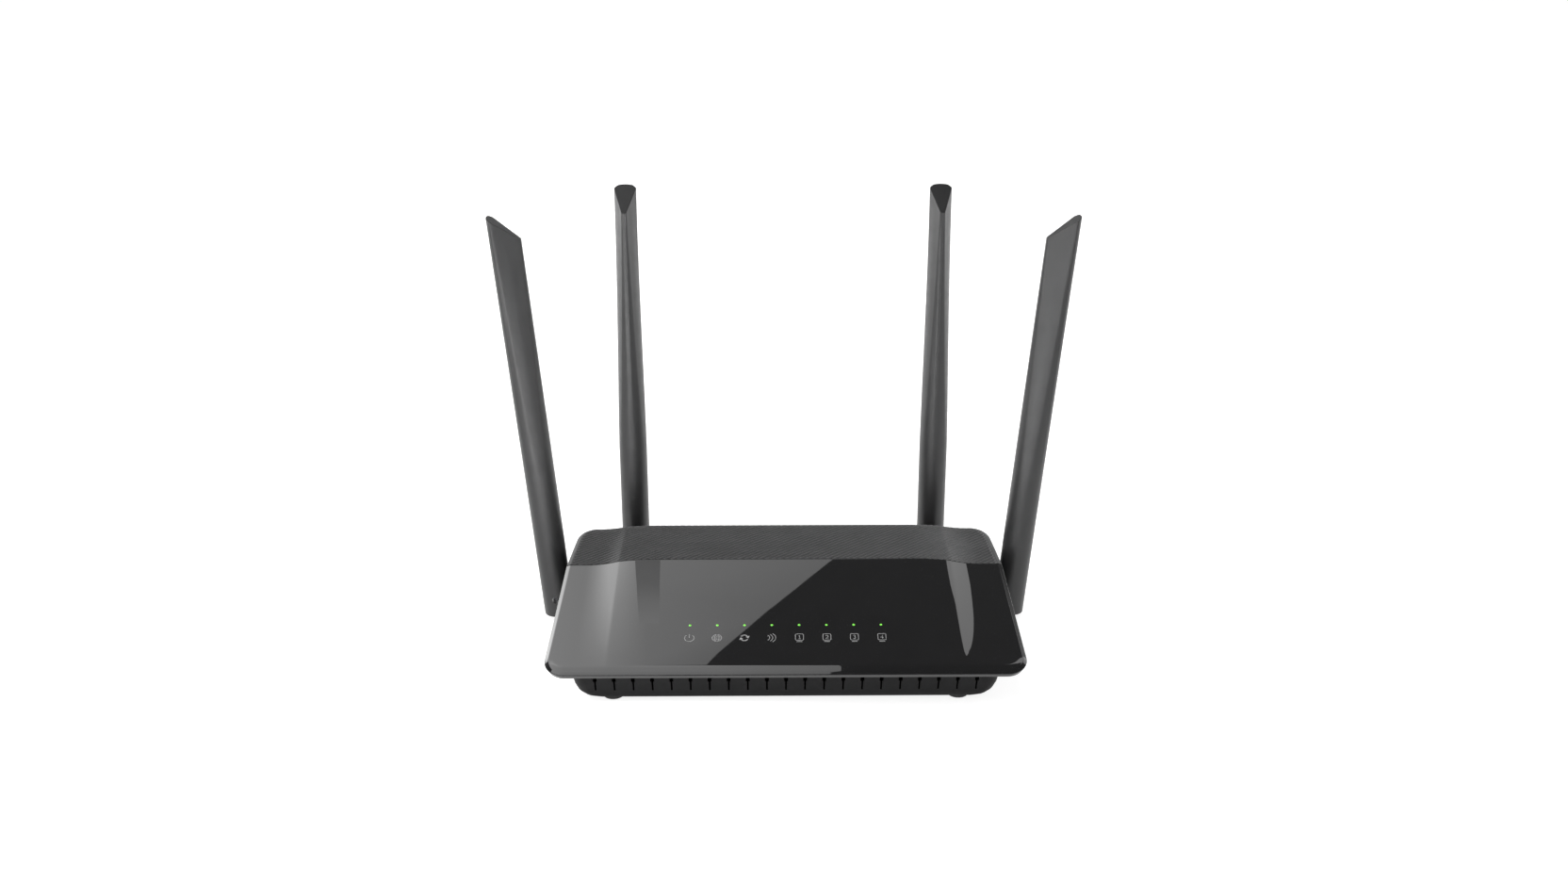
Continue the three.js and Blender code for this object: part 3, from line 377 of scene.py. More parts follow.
def plastic(
    name, color, roughness, spread=0.06, mottle=0.12, grain=0.35, depth=0.006, waves=0.0, **fixed
):
    """A moulded surface: fine grain, faint mottling, and roughness that varies like handled plastic.

    grain and depth are the moulded grain's width and depth in millimetres, waves the depth of its
    long unevenness, and fixed holds values for the shader's own sockets."""
    material, tree, shader = new_material(name)
    for socket, value in fixed.items():
        shader.inputs[socket.replace("_", " ")].default_value = value
    place = object_place(tree)
    cloud = noise(tree, place, 14.0, 4.0)
    low = [c * (1 - mottle) for c in color]
    high = [c * (1 + mottle) for c in color]
    tree.links.new(blended(tree, ramp(tree, cloud, 0, 1), low, high), shader.inputs["Base Color"])
    handled = noise(tree, place, 4.5, 6.0)
    roughnesses = ramp(tree, handled, roughness - spread / 2, roughness + spread / 2)
    tree.links.new(roughnesses, shader.inputs["Roughness"])
    normal = bump(tree, noise(tree, place, grain, 3.0), depth)
    if waves:
        normal = bump(tree, noise(tree, place, 22.0, 1.0), waves, normal)
    tree.links.new(normal, shader.inputs["Normal"])
    return material


def antenna_material(name):
    """Satin on the sides and matt on the slanting tip, which faces along the antenna."""
    material = plastic(name, (0.014, 0.014, 0.0145), 0.4, 0.07, 0.1, 0.28, 0.008)
    tree = material.node_tree
    shader = tree.nodes["Principled BSDF"]
    axes = add_node(tree, "ShaderNodeSeparateXYZ")
    tree.links.new(add_node(tree, "ShaderNodeTexCoord").outputs["Normal"], axes.inputs[0])
    gloss = ramp(tree, axes.outputs["Z"], SIDE_SPECULAR, TIP_SPECULAR, 0.55, 0.7)
    tree.links.new(gloss, shader.inputs["Specular IOR Level"])
    return material


def circuit_board_material(name):
    """Green solder mask over copper tracks and pads."""
    material = plastic(name, (0.012, 0.085, 0.03), 0.34, grain=0.8, depth=0.01)
    tree = material.node_tree
    shader = tree.nodes["Principled BSDF"]
    place = object_place(tree)
    tracks = add_node(tree, "ShaderNodeTexVoronoi", distance="MANHATTAN", feature="F1")
    tracks.inputs["Scale"].default_value = 1 / (3.2 * MM)
    tree.links.new(place, tracks.inputs["Vector"])
    lines = add_node(tree, "ShaderNodeMath", operation="PINGPONG")
    lines.inputs[1].default_value = 0.12
    tree.links.new(tracks.outputs["Distance"], lines.inputs[0])
    copper = ramp(tree, lines.outputs[0], 0, 1, 0.055, 0.065)
    colour = blended(tree, copper, (0.009, 0.07, 0.024), (0.035, 0.16, 0.05))
    tree.links.new(colour, shader.inputs["Base Color"])
    tree.links.new(bump(tree, copper, 0.03), shader.inputs["Normal"])
    return material


def brushed(name, color, roughness, stretch=(1, 1, 40), metallic=1.0, grain=0.25):
    """Metal with fine lines along one direction."""
    material, tree, shader = new_material(name)
    shader.inputs["Metallic"].default_value = metallic
    place = object_place(tree)
    mapping = add_node(tree, "ShaderNodeMapping")
    mapping.inputs["Scale"].default_value = stretch
    tree.links.new(place, mapping.inputs["Vector"])
    lines = noise(tree, mapping.outputs["Vector"], grain, 3.0)
    low = [c * 0.85 for c in color]
    tree.links.new(blended(tree, ramp(tree, lines, 0, 1), low, color), shader.inputs["Base Color"])
    rough = ramp(tree, lines, roughness - 0.08, roughness + 0.08)
    tree.links.new(rough, shader.inputs["Roughness"])
    tree.links.new(bump(tree, lines, 0.004), shader.inputs["Normal"])
    return material


def glowing(name, color, strength):
    """A lit indicator under its clear lens."""
    material = plastic(name, [c * 0.6 for c in color], 0.18, spread=0.04, grain=0.5, depth=0.001)
    shader = material.node_tree.nodes["Principled BSDF"]
    shader.inputs["Emission Color"].default_value = (*color, 1)
    shader.inputs["Emission Strength"].default_value = strength
    return material


# A low specular level that dulls the tray's reflections, as painted shade for the shade under the cover's
# overhang.
DULL_AS_SHADE = {"Specular_IOR_Level": 0.12}
SATIN = {"Specular_IOR_Level": 0.3}
GLOSS = plastic("gloss_black", (0.0042, 0.0042, 0.0045), 0.01, 0.006, 0.1, 0.6, 0.0001, waves=0.002)
RIBBED = plastic("ribbed_black", (0.024, 0.024, 0.0245), 0.4, 0.08, 0.14, 0.22, 0.008)
# The tray is black plastic, but its colour is darker than the other plastics and its reflections are
# dulled. This is painted shade for the shade under the cover's overhang.
TRAY_BLACK_AND_SHADE = plastic("tray_black_and_painted_shade", (0.006, 0.006, 0.0063), 0.55, 0.08, 0.14, 0.3, 0.014, **DULL_AS_SHADE)
ANTENNA = antenna_material("antenna_black")
KNUCKLE = plastic("knuckle_black", (0.02, 0.02, 0.0206), 0.46, 0.07, 0.1, 0.28, 0.008, **SATIN)
RUBBER = plastic("foot_rubber", (0.009, 0.009, 0.009), 0.82, 0.08, 0.2, 0.5, 0.02)
BUTTON = plastic("button_black", (0.016, 0.016, 0.0165), 0.42, 0.08, 0.12, 0.25, 0.008)
JACK = plastic("jack_black", (0.011, 0.011, 0.0115), 0.38, 0.08, 0.12, 0.4, 0.006)
JACK_BLUE = plastic("jack_blue", (0.013, 0.075, 0.27), 0.38, 0.08, 0.1, 0.4, 0.006)
CHIP = plastic("chip_epoxy", (0.009, 0.009, 0.0095), 0.5, 0.1, 0.2, 0.15, 0.01)
SLEEVE = plastic("capacitor_sleeve", (0.018, 0.022, 0.045), 0.3, 0.06, 0.1, 0.8, 0.004)
GUIDE = plastic("light_guide_clear", (0.2, 0.62, 0.12), 0.15, 0.05, 0.1, 1.0, 0.002)
JACKET = plastic("coax_jacket", (0.12, 0.12, 0.125), 0.45, 0.08, 0.1, 0.4, 0.01)
PAPER = plastic("label_paper", (0.56, 0.56, 0.55), 0.62, 0.08, 0.03, 0.12, 0.006)
PRINT = plastic("icon_print", (0.21, 0.21, 0.21), 0.45, 0.06, 0.08, 0.2, 0.002)
BOARD = circuit_board_material("board_green")
TIN = brushed("tinned_steel", (0.55, 0.55, 0.56), 0.34)
ZINC = brushed("zinc_steel", (0.42, 0.42, 0.43), 0.36, (1, 1, 1), grain=0.4)
OXIDE = brushed("black_oxide_steel", (0.05, 0.05, 0.052), 0.4, (1, 1, 1), grain=0.4)
ALUMINIUM = brushed("drawn_aluminium", (0.42, 0.42, 0.43), 0.4, (40, 1, 40))
COPPER = brushed("copper_strip", (0.72, 0.3, 0.13), 0.35)
GOLD = brushed("contact_gold", (0.8, 0.55, 0.2), 0.25, (1, 1, 1), grain=0.3)
LIT = glowing("indicator_green", (0.2, 0.8, 0.06), 0.4)

# ---------------------------------------------------------------- shell surface


def corner_inset(radius, overrun):
    if overrun <= 0:
        return 0.0
    return radius - math.sqrt(max(0.0, radius * radius - overrun * overrun))


def shell_half_width(y):
    straight = SHELL_HALF_WIDTH - SHELL_TAPER * max(0.0, y - FRONT_CORNER_R)
    return straight - corner_inset(REAR_CORNER_R, y - (SHELL_DEPTH - REAR_CORNER_R))


def edge_height(y):
    """Height of the shell's widest line."""
    if y < SEAM_Y:
        return mix(FRONT_EDGE_Z, SEAM_EDGE_Z, y / SEAM_Y)
    return mix(SEAM_EDGE_Z, REAR_EDGE_Z, (y - FALL_START_Y) / (ROLL_START_Y - FALL_START_Y))


def rise(y):
    """Height of the top surface above the widest line."""
    return mix(RISE_FRONT, RISE_SEAM, (y - LIP_DEPTH) / (SEAM_Y - LIP_DEPTH))


def step_height(y):
    """How far the middle stands above the shoulders."""
    if y < LIP_DEPTH:
        return STEP_FRONT * smooth(y / LIP_DEPTH)
    if y < SEAM_Y:
        return mix(STEP_FRONT, STEP_SEAM, (y - LIP_DEPTH) / (SEAM_Y - LIP_DEPTH))
    return mix(STEP_SEAM, STEP_REAR, (y - SEAM_Y) / (ROLL_START_Y - SEAM_Y))


def step_share(x):
    """Share of the step that is left at a distance from the middle, with a softly rounded crease."""
    beyond = abs(x) - CREASE_X
    if beyond < 0:
        inside = max(0.0, 1 + beyond / CREASE_INSIDE)
        share = 1 - CREASE_SHARE * inside * inside
    else:
        outside = min(1.0, beyond / CREASE_OUTSIDE)
        share = (1 - CREASE_SHARE) * (1 - outside) ** 2
    inner_slope = 2 * CREASE_SHARE / CREASE_INSIDE
    outer_slope = 2 * (1 - CREASE_SHARE) / CREASE_OUTSIDE
    near = max(0.0, CREASE_ROUNDING - abs(beyond))
    return share - (outer_slope - inner_slope) * near * near / (4 * CREASE_ROUNDING)


def raised(x, y):
    return step_height(y) * step_share(x)


def edge_profile(front_share, strip):
    """Section of the shell's rim, from the underside over the widest line to the top.

    Each point is (distance from the outline, share of the rise, fixed height, share of the
    underside's setback)."""
    corners = [
        (strip, 1, -SHELL_THICKNESS, 1),
        (BEVEL_WIDTH, 1, -SHELL_THICKNESS, 1),
        (EDGE_UNDERCUT, 0, -EDGE_DROP, 1),
        (0, 0, 0, 0),
        (mix(BEVEL_WIDTH, FRONT_BEVEL_WIDTH, front_share), mix(1, FRONT_BEVEL_SHARE, front_share), 0, 0),
        (min(0.9 * strip, mix(2 * BEVEL_WIDTH, LIP_DEPTH, front_share)), 1, 0, 0),
        (strip, 1, 0, 0),
    ]
    cuts = (0.2, 0.2, NOSE_ROUNDING, BEVEL_ROUNDING, LIP_ROUNDING)
    return rounded(corners, cuts, lambda p: Vector((p[0], p[1] * RISE_FRONT + p[2], 0)))


def symmetric(stops):
    return [-s for s in reversed(stops) if s > 0] + list(stops)


def spread(start, end, step):
    count = max(1, round((end - start) / step))
    return [start + (end - start) * i / count for i in range(count + 1)]


# ---------------------------------------------------------------- gloss cover


def rim_point(outline, inward, point):
    """A point of a rim section at an outline point, in millimetres."""
    distance, share, fixed, _ = point
    x = outline[0] + inward[0] * distance
    y = outline[1] + inward[1] * distance
    z = edge_height(y) + share * rise(y) + fixed + raised(x, y)
    return x, y, z


def shrunk(point, amount):
    """Moves a point of the cover's seam edge inwards, which rounds that edge over."""
    x, y, z = point
    middle = edge_height(y) + raised(x, y) - 0.5
    return x, y, z + (amount if z < middle else -amount)


def cover_columns():
    """Columns across the flat part, closest together at the crease."""
    flat = spread(0, CREASE_X - CREASE_INSIDE, 7)
    falling = spread(CREASE_X - CREASE_INSIDE, CREASE_X - 2, 1.6)[1:]
    crease = spread(CREASE_X - 2, CREASE_X + 2, 0.2)[1:]
    foot = spread(CREASE_X + 2, 96, 1.2)[1:]
    return flat + falling + crease + foot


def seam_rows():
    """Depths of the last rows before the seam, with how much each is drawn in."""
    rows = [(SEAM_Y - SEAM_ROUNDING - 0.3, 0.0)]
    for i in range(5):
        angle = math.pi / 2 * i / 4
        inset = SEAM_ROUNDING * (1 - math.cos(angle))
        rows.append((SEAM_Y - SEAM_ROUNDING * (1 - math.sin(angle)), inset))
    return rows


def cover_mesh():
    bm = bmesh.new()
    side = edge_profile(0.0, FRONT_CORNER_R)
    stops = cover_columns()
    rows = [(y, 0.0) for y in spread(FRONT_CORNER_R, SEAM_Y - 1.4, 2.6)] + seam_rows()
    loops = []
    for y, inset in rows:
        half = shell_half_width(y)
        columns = symmetric([*stops, half - FRONT_CORNER_R])
        left = [rim_point((-half, y), (1, 0), p) for p in side]
        right = [rim_point((half, y), (-1, 0), p) for p in reversed(side)]
        top = [(x, y, edge_height(y) + rise(y) + raised(x, y)) for x in columns[1:-1]]
        under = [(x, y, z - SHELL_THICKNESS) for x, y, z in reversed(top)]
        loops.append([placed(*shrunk(p, inset)) for p in [*left, *top, *right, *under]])
    made = loft(bm, loops, closed=True)
    bm.faces.new(made[-1])

    stations = []
    for i in range(CORNER_STEPS + 1):
        share = i / CORNER_STEPS
        stations.append((-SHELL_HALF_WIDTH + FRONT_CORNER_R, math.pi * (1 + share / 2), smooth(share)))
    for x in symmetric([*stops, SHELL_HALF_WIDTH - FRONT_CORNER_R])[1:-1]:
        stations.append((x, 1.5 * math.pi, 1.0))
    for i in range(CORNER_STEPS + 1):
        share = i / CORNER_STEPS
        stations.append((SHELL_HALF_WIDTH - FRONT_CORNER_R, math.pi * (3 + share) / 2, smooth(1 - share)))
    sections = []
    for centre_x, angle, front_share in stations:
        out = (math.cos(angle), math.sin(angle))
        outline = (centre_x + FRONT_CORNER_R * out[0], FRONT_CORNER_R * (1 + out[1]))
        profile = edge_profile(front_share, FRONT_CORNER_R)
        inward = (-out[0], -out[1])
        sections.append([placed(*rim_point(outline, inward, p)) for p in profile])
    loft(bm, sections)
    return finish_mesh(bm)


# ---------------------------------------------------------------- ribbed panel


def rolled(y, z, angle):
    """Height of a point of the rear roll."""
    return mix(REAR_RIM_Z, z, math.cos(angle))


def rib_drop(x, y, travel, from_edge, angle):
    """How deep the groove beside a rib is at a point."""
    phase = RIBS_PER_MM_X * x + RIBS_PER_MM_Y * (travel + RIB_LEAN * raised(x, y))
    ridge = abs(math.sin(math.pi * phase)) ** RIB_SHARPNESS
    fade = smooth(from_edge / RIB_FADE) * smooth((math.radians(84) - angle) / math.radians(12))
    return RIB_DEPTH * (1 - ridge) * fade


def panel_rows():
    """(depth, roll angle, distance travelled along the surface) of each row."""
    rows = [(y, 0.0, y) for y in spread(SEAM_Y + SEAM_GAP, ROLL_START_Y, RIB_SAMPLING)]
    roll_depth = SHELL_DEPTH - ROLL_START_Y
    drop = REAR_EDGE_Z - REAR_RIM_Z
    travel = ROLL_START_Y
    before = (ROLL_START_Y, 0.0)
    for i in range(1, ROLL_STEPS + 1):
        angle = math.pi / 2 * i / ROLL_STEPS
        here = (ROLL_START_Y + roll_depth * math.sin(angle), drop * (1 - math.cos(angle)))
        travel += math.hypot(here[0] - before[0], here[1] - before[1])
        before = here
        rows.append((here[0], angle, travel))
    return rows


def panel_mesh():
    bm = bmesh.new()
    side = edge_profile(0.0, RIB_FREE_STRIP)
    reach = shell_half_width(SEAM_Y) - RIB_FREE_STRIP
    columns = symmetric(spread(0, reach, RIB_SAMPLING))
    coarse = symmetric(spread(0, reach, 9.0))
    loops = []
    for y, angle, travel in panel_rows():
        half = shell_half_width(y)
        scale = (half - RIB_FREE_STRIP) / reach
        level_y = min(y, ROLL_START_Y)
        base = edge_height(level_y)

        def rim(sign, points):
            found = []
            for distance, share, fixed, setback in points:
                x = sign * (half - distance)
                z = rolled(y, base + share * rise(level_y) + fixed + raised(x, level_y), angle)
                found.append((x, y - SHELL_THICKNESS * math.sin(angle) * setback, z))
            return found

        top = []
        for column in columns[1:-1]:
            x = column * scale
            z = rolled(y, base + rise(level_y) + raised(x, level_y), angle)
            drop = rib_drop(x, level_y, travel, half - RIB_FREE_STRIP - abs(x), angle)
            top.append((x, y - drop * math.sin(angle), z - drop * math.cos(angle)))
        under = []
        for column in reversed(coarse[1:-1]):
            x = column * scale
            z = rolled(y, base + rise(level_y) + raised(x, level_y) - SHELL_THICKNESS, angle)
            under.append((x, y - SHELL_THICKNESS * math.sin(angle), z))
        loop = [*rim(-1, side), *top, *rim(1, reversed(side)), *under]
        loops.append([placed(*p) for p in loop])
    loft(bm, loops, closed=True, capped=True)
    return finish_mesh(bm)


# ---------------------------------------------------------------- indicators and icons


def plate_point(x, y, lift):
    """A point of the flat middle of the cover, lifted off it along its normal."""
    slope = (top_height(x, LED_Y + 1) - top_height(x, LED_Y - 1)) / 2
    length = math.hypot(1, slope)
    return placed(x, y - lift * slope / length, top_height(x, y) + lift / length)


def top_height(x, y):
    return edge_height(y) + rise(y) + raised(x, y)


def led_x(i):
    return (i - (LED_COUNT - 1) / 2) * LED_PITCH


def indicator_lens(x):
    """A shallow dome inside a thin sunken rim."""
    bm = bmesh.new()
    steps = 40
    profile = [(LENS_R + LENS_RIM, 0.004), (LENS_R + 0.04, 0.03), (LENS_R, 0.03)]
    profile += [(LENS_R * math.cos(a), 0.03 + LENS_DOME * math.sin(a)) for a in (0.4, 0.8, 1.2)]
    rings = []
    for radius, lift in profile:
        ring = []
        for i in range(steps):
            angle = 2 * math.pi * i / steps
            ring.append(plate_point(x + radius * math.cos(angle), LED_Y + radius * math.sin(angle), lift))
        rings.append(ring)
    made = loft(bm, rings, closed=True)
    bm.faces.new(made[-1])
    return finish_mesh(bm)


def arc(centre, radius, start, end):
    """Points of an arc, with angles in degrees anticlockwise from the right."""
    count = max(2, round(abs(end - start) / 360 * ICON_SAG))
    points = []
    for i in range(count + 1):
        angle = math.radians(start + (end - start) * i / count)
        points.append((centre[0] + radius * math.cos(angle), centre[1] + radius * math.sin(angle)))
    return points


def round_box(half_width, half_height, radius, centre=(0, 0)):
    """A closed rounded rectangle."""
    points = []
    for sx, sy, start in ((1, 1, 0), (-1, 1, 90), (-1, -1, 180), (1, -1, 270)):
        corner = (centre[0] + sx * (half_width - radius), centre[1] + sy * (half_height - radius))
        points += arc(corner, radius, start, start + 90)
    return [*points, points[0]]


DIGITS = {
    1: [[(-0.45, 0.5), (0.05, 0.9), (0.05, -0.9)], [(-0.5, -0.9), (0.6, -0.9)]],
    2: [[*arc((0, 0.35), 0.55, 170, -40), (-0.6, -0.9), (0.65, -0.9)]],
    3: [[*arc((-0.05, 0.42), 0.48, 150, -80), *arc((-0.05, -0.4), 0.52, 85, -150)]],
    4: [[(0.3, -0.9), (0.3, 0.9), (-0.65, -0.35), (0.75, -0.35)]],
}


def monitor_icon(number):
    """A screen outline with its number and its stand: strokes, then filled shapes."""
    digit = [[(x, 0.35 + y * 1.25) for x, y in stroke] for stroke in DIGITS[number]]
    strokes = [round_box(1.85, 2.05, 0.7, (0, 0.35)), *digit]
    stand = [[(-1.4, -2.75), (1.4, -2.75), (1.2, -2.35), (-1.2, -2.35)]]
    return strokes, stand


def power_icon():
    return [arc((0, 0), 2.2, 125, 415), [(0, 0.2), (0, 2.5)]], []


def globe_icon():
    """A globe with meridians and parallels."""
    meridian = [(math.cos(t), 2.2 * math.sin(t)) for t in (math.pi * i / 20 for i in range(-10, 11))]
    strokes = [
        arc((0, 0), 2.2, 0, 360),
        meridian,
        [(-x, y) for x, y in meridian],
        [(-2.2, 0), (2.2, 0)],
        [(-1.85, 1.1), (1.85, 1.1)],
        [(-1.85, -1.1), (1.85, -1.1)],
    ]
    return strokes, []


def pairing_icon():
    """Two curved arrows that chase each other."""
    strokes = [arc((0, 0), radius, turn, turn - 110) for radius in (1.65, 1.9) for turn in (150, -30)]
    heads = []
    for turn in (0, math.pi):
        head = []
        for x, y in ((0.55, 0.75), (2.45, 1.35), (1.75, -0.35)):
            head.append((x * math.cos(turn) - y * math.sin(turn), x * math.sin(turn) + y * math.cos(turn)))
        heads.append(head)
    return strokes, heads


def radio_icon():
    """Waves that spread to the right."""
    return [arc((0.8 * i - 2.95, 0), 0.6 * i + 1.9, -58, 58) for i in range(3)], []


ICONS = [power_icon(), globe_icon(), pairing_icon(), radio_icon()]
ICONS += [monitor_icon(number) for number in (1, 2, 3, 4)]


def stroke_outline(points):
    """Left and right edges of a stroke of the icons' width."""
    closed = math.dist(points[0], points[-1]) < 1e-6
    pairs = []
    for i, here in enumerate(points):
        before = points[i - 1] if i else (points[-2] if closed else here)
        after = points[i + 1] if i + 1 < len(points) else (points[1] if closed else here)
        direction = Vector((after[0] - before[0], after[1] - before[1])).normalized()
        side = Vector((-direction.y, direction.x)) * ICON_STROKE / 2
        pairs.append(((here[0] + side.x, here[1] + side.y), (here[0] - side.x, here[1] - side.y)))
    return pairs


def icon_mesh(x, strokes, shapes):
    """Printed strokes and shapes that lie on the cover."""
    bm = bmesh.new()

    def ink(u, v):
        return plate_point(x + u, ICON_Y + v, ICON_LIFT)

    for stroke in strokes:
        pairs = stroke_outline(stroke)
        loft(bm, [[ink(*left), ink(*right)] for left, right in pairs])
    for shape in shapes:
        bm.faces.new([bm.verts.new(ink(*p)) for p in shape])
    bmesh.ops.recalc_face_normals(bm, faces=bm.faces)
    for face in bm.faces:
        if face.normal.z < 0:
            face.normal_flip()
    return bm


# ---------------------------------------------------------------- antennas


def soft_least(reaches):
    """The least of some reaches, with softened corners between them."""
    return sum(reach**-WEDGE_SHARPNESS for reach in reaches) ** (-1 / WEDGE_SHARPNESS)


def wedge_reaches(angle, share):
    """Distances along an angle from the ridge to the wedge's faces, at a share of the way to the tip."""
    slope = math.atan2(TIP_BACK_HALF - TIP_RIDGE_HALF, 2 * ANTENNA_R)
    flank = TIP_RIDGE_HALF * math.cos(slope) + ANTENNA_R * math.sin(slope)
    corner = math.atan2(TIP_BACK_HALF, -ANTENNA_R)
    corner_reach = math.hypot(TIP_BACK_HALF, ANTENNA_R) - TIP_CORNER_CUT
    faces = (
        (0.0, ANTENNA_R),
        (math.pi, ANTENNA_R),
        (math.pi / 2 - slope, flank),
        (corner, corner_reach),
    )
    cosines = [(math.cos(abs(angle) - normal), reach) for normal, reach in faces]
    return [mix(ANTENNA_R, reach, share) / cosine for cosine, reach in cosines if cosine > 0.01]


def section_reach(angle, share):
    """Halfway between a circle that blends into the wedge and a circle that the wedge's faces cut."""
    blended = mix(ANTENNA_R, soft_least(wedge_reaches(angle, 1)), share)
    cut_circle = soft_least([ANTENNA_R, *wedge_reaches(angle, share)]) if share else ANTENNA_R
    return (blended + cut_circle) / 2


def antenna_ring(z, share, inset=0.0, lift=0.0):
    """One ring of the housing, at a share of the way from its round part to its falling tip."""
    ring = []
    for i in range(RING_STEPS):
        angle = 2 * math.pi * (i + 0.5) / RING_STEPS - math.pi
        reach = section_reach(angle, share) - inset
        x = -reach * math.cos(angle)
        y = -reach * math.sin(angle) * mix(ANTENNA_FLATNESS, 1, share)
        fall = share * TIP_FALL * (0.5 - x / (2 * ANTENNA_R))
        ring.append(Vector((x, y, z - fall + lift)) * MM)
    return ring


def housing_mesh():
    bm = bmesh.new()
    low = -PIVOT_HEIGHT
    rings = []
    for i in range(5):
        angle = math.pi / 2 * i / 4
        inset = ANTENNA_END_CHAMFER * (1 - math.sin(angle))
        rings.append(antenna_ring(low + ANTENNA_END_CHAMFER * (1 - math.cos(angle)), 0.0, inset))
    rings += [antenna_ring(z, 0.0) for z in (low + 1.2, low + 30, low + ANTENNA_KNEE - 2)]
    body = ANTENNA_LENGTH - ANTENNA_KNEE
    for i in range(BODY_RINGS):
        share = i / BODY_RINGS
        rings.append(antenna_ring(low + ANTENNA_KNEE + body * share, share))
    top = low + ANTENNA_LENGTH
    rings.append(antenna_ring(top, 1.0, lift=-TIP_CHAMFER - 0.15))
    for i in range(4):
        angle = math.pi / 2 * i / 3
        inset = TIP_CHAMFER * (1 - math.cos(angle))
        rings.append(antenna_ring(top, 1.0, inset, TIP_CHAMFER * (math.sin(angle) - 1)))
    rings.append(antenna_ring(top, 1.0, TIP_CHAMFER + 0.15))
    loft(bm, rings, closed=True, capped=True)
    return finish_mesh(bm)


def slot_cutter():
    """The space of the knuckle's tongue, open towards the case and downwards."""
    bm = bmesh.new()
    outline = []
    for i in range(25):
        angle = math.pi * 0.5 * i / 24
        outline.append((SLOT_R * math.cos(angle), SLOT_R * math.sin(angle)))
    far = ANTENNA_R + 2
    low = -PIVOT_HEIGHT - 2
    outline += [(-far, SLOT_R), (-far, low), (SLOT_R, low)]
    sides = []
    for y in (-SLOT_HALF, SLOT_HALF):
        sides.append([Vector((x, y, z)) * MM for x, z in outline])
    loft(bm, sides, closed=True, capped=True)
    return outward(bm)


def bore_cutter():
    """The pin's bore, blind at one end and open at the other."""
    near = -PIN_HALF_LENGTH
    profile = [(0, near), (PIN_BORE_R, near), (PIN_BORE_R, BORE_OUT), (0, BORE_OUT)]
    return turned(profile, PIN_STEPS, ALONG_Y)


def cut(obj, cutters):
    """Subtracts cutter meshes from an object and keeps the result in its mesh."""
    for number, bm in enumerate(cutters):
        cutter = linked(f"cutter_{number}", mesh_from(f"cutter_{number}", bm))
        modifier = obj.modifiers.new("cut", "BOOLEAN")
        modifier.operation = "DIFFERENCE"
        modifier.solver = "EXACT"
        modifier.object = cutter
        bpy.context.view_layer.update()
        graph = bpy.context.evaluated_depsgraph_get()
        result = bpy.data.meshes.new_from_object(obj.evaluated_get(graph))
        obj.modifiers.clear()
        obj.data = result
        bpy.data.objects.remove(cutter)
    obj.data.shade_smooth()
    obj.data.set_sharp_from_angle(angle=math.radians(30))


def soften(obj, width=0.25, angle=35):
    """Rounds the hard edges of a piece and keeps its flats flat."""
    edges = obj.modifiers.new("soften", "BEVEL")
    edges.width = width * MM
    edges.segments = 2
    edges.limit_method = "ANGLE"
    edges.angle_limit = math.radians(angle)
    edges.use_clamp_overlap = True
    edges.miter_outer = "MITER_ARC"
    normals = obj.modifiers.new("normals", "WEIGHTED_NORMAL")
    normals.keep_sharp = True
    normals.weight = 60


def knuckle_mesh():
    """Collar, barrel and flange turned about the axis, with a round-nosed tongue."""
    bm = bmesh.new()
    near, far = COLLAR_NEAR, COLLAR_FAR
    profile = [
        (0, near),
        (COLLAR_R - 0.5, near),
        (COLLAR_R - 0.15, near + 0.15),
        (COLLAR_R, near + 0.5),
        (COLLAR_R, near + 1.5),
        (COLLAR_R - 0.25, near + 1.7),
        (COLLAR_R - 0.25, near + 2.1),
        (COLLAR_R, near + 2.3),
        (COLLAR_R, far - 0.3),
        (COLLAR_R - 0.3, far),
        (BARREL_R, far),
        (BARREL_R, BARREL_END),
        (FLANGE_R, BARREL_END),
        (FLANGE_R, FLANGE_END),
        (0, FLANGE_END),
    ]
    lathe(bm, profile, KNUCKLE_STEPS, Matrix.Rotation(-math.pi / 2, 4, "Y"))
    outline = []
    for i in range(33):
        angle = math.pi / 2 - math.pi * i / 32
        outline.append((TONGUE_R * math.cos(angle), TONGUE_R * math.sin(angle)))
    outline += [(-near - 1, -TONGUE_R), (-near - 1, TONGUE_R)]
    edge = ((0, TONGUE_ROUNDING), (0.1, TONGUE_ROUNDING * 0.3), (TONGUE_ROUNDING, 0))
    layers = [(depth - TONGUE_HALF, inset) for depth, inset in edge]
    layers += [(TONGUE_HALF - depth, inset) for depth, inset in reversed(edge)]
    sides = []
    for y, inset in layers:
        scale = (TONGUE_R - inset) / TONGUE_R
        sides.append([Vector((x * scale, y, z * scale)) * MM for x, z in outline])
    loft(bm, sides, closed=True, capped=True)
    return outward(bm)


def pin_mesh():
    """A pin with rounded ends, one of them dimpled."""
    end = PIN_HALF_LENGTH
    profile = [
        (0, -end + 0.1),
        (PIN_R - 0.5, -end),
        (PIN_R - 0.15, -end + 0.12),
        (PIN_R, -end + 0.45),
        (PIN_R, end - 0.45),
        (PIN_R - 0.15, end - 0.12),
        (PIN_R - 0.5, end),
        (PIN_R - 0.8, end - 0.25),
        (0, end - 0.3),
    ]
    return turned(profile, PIN_STEPS, ALONG_Y)


def antenna_matrix(pivot, turn, lean=0.0):
    """From an antenna's own frame, in metres, to the row frame."""
    placement = Matrix.Translation(placed(*pivot))
    swing = Matrix.Rotation(math.radians(turn), 4, "Z")
    return placement @ swing @ Matrix.Rotation(math.radians(lean), 4, "Y")


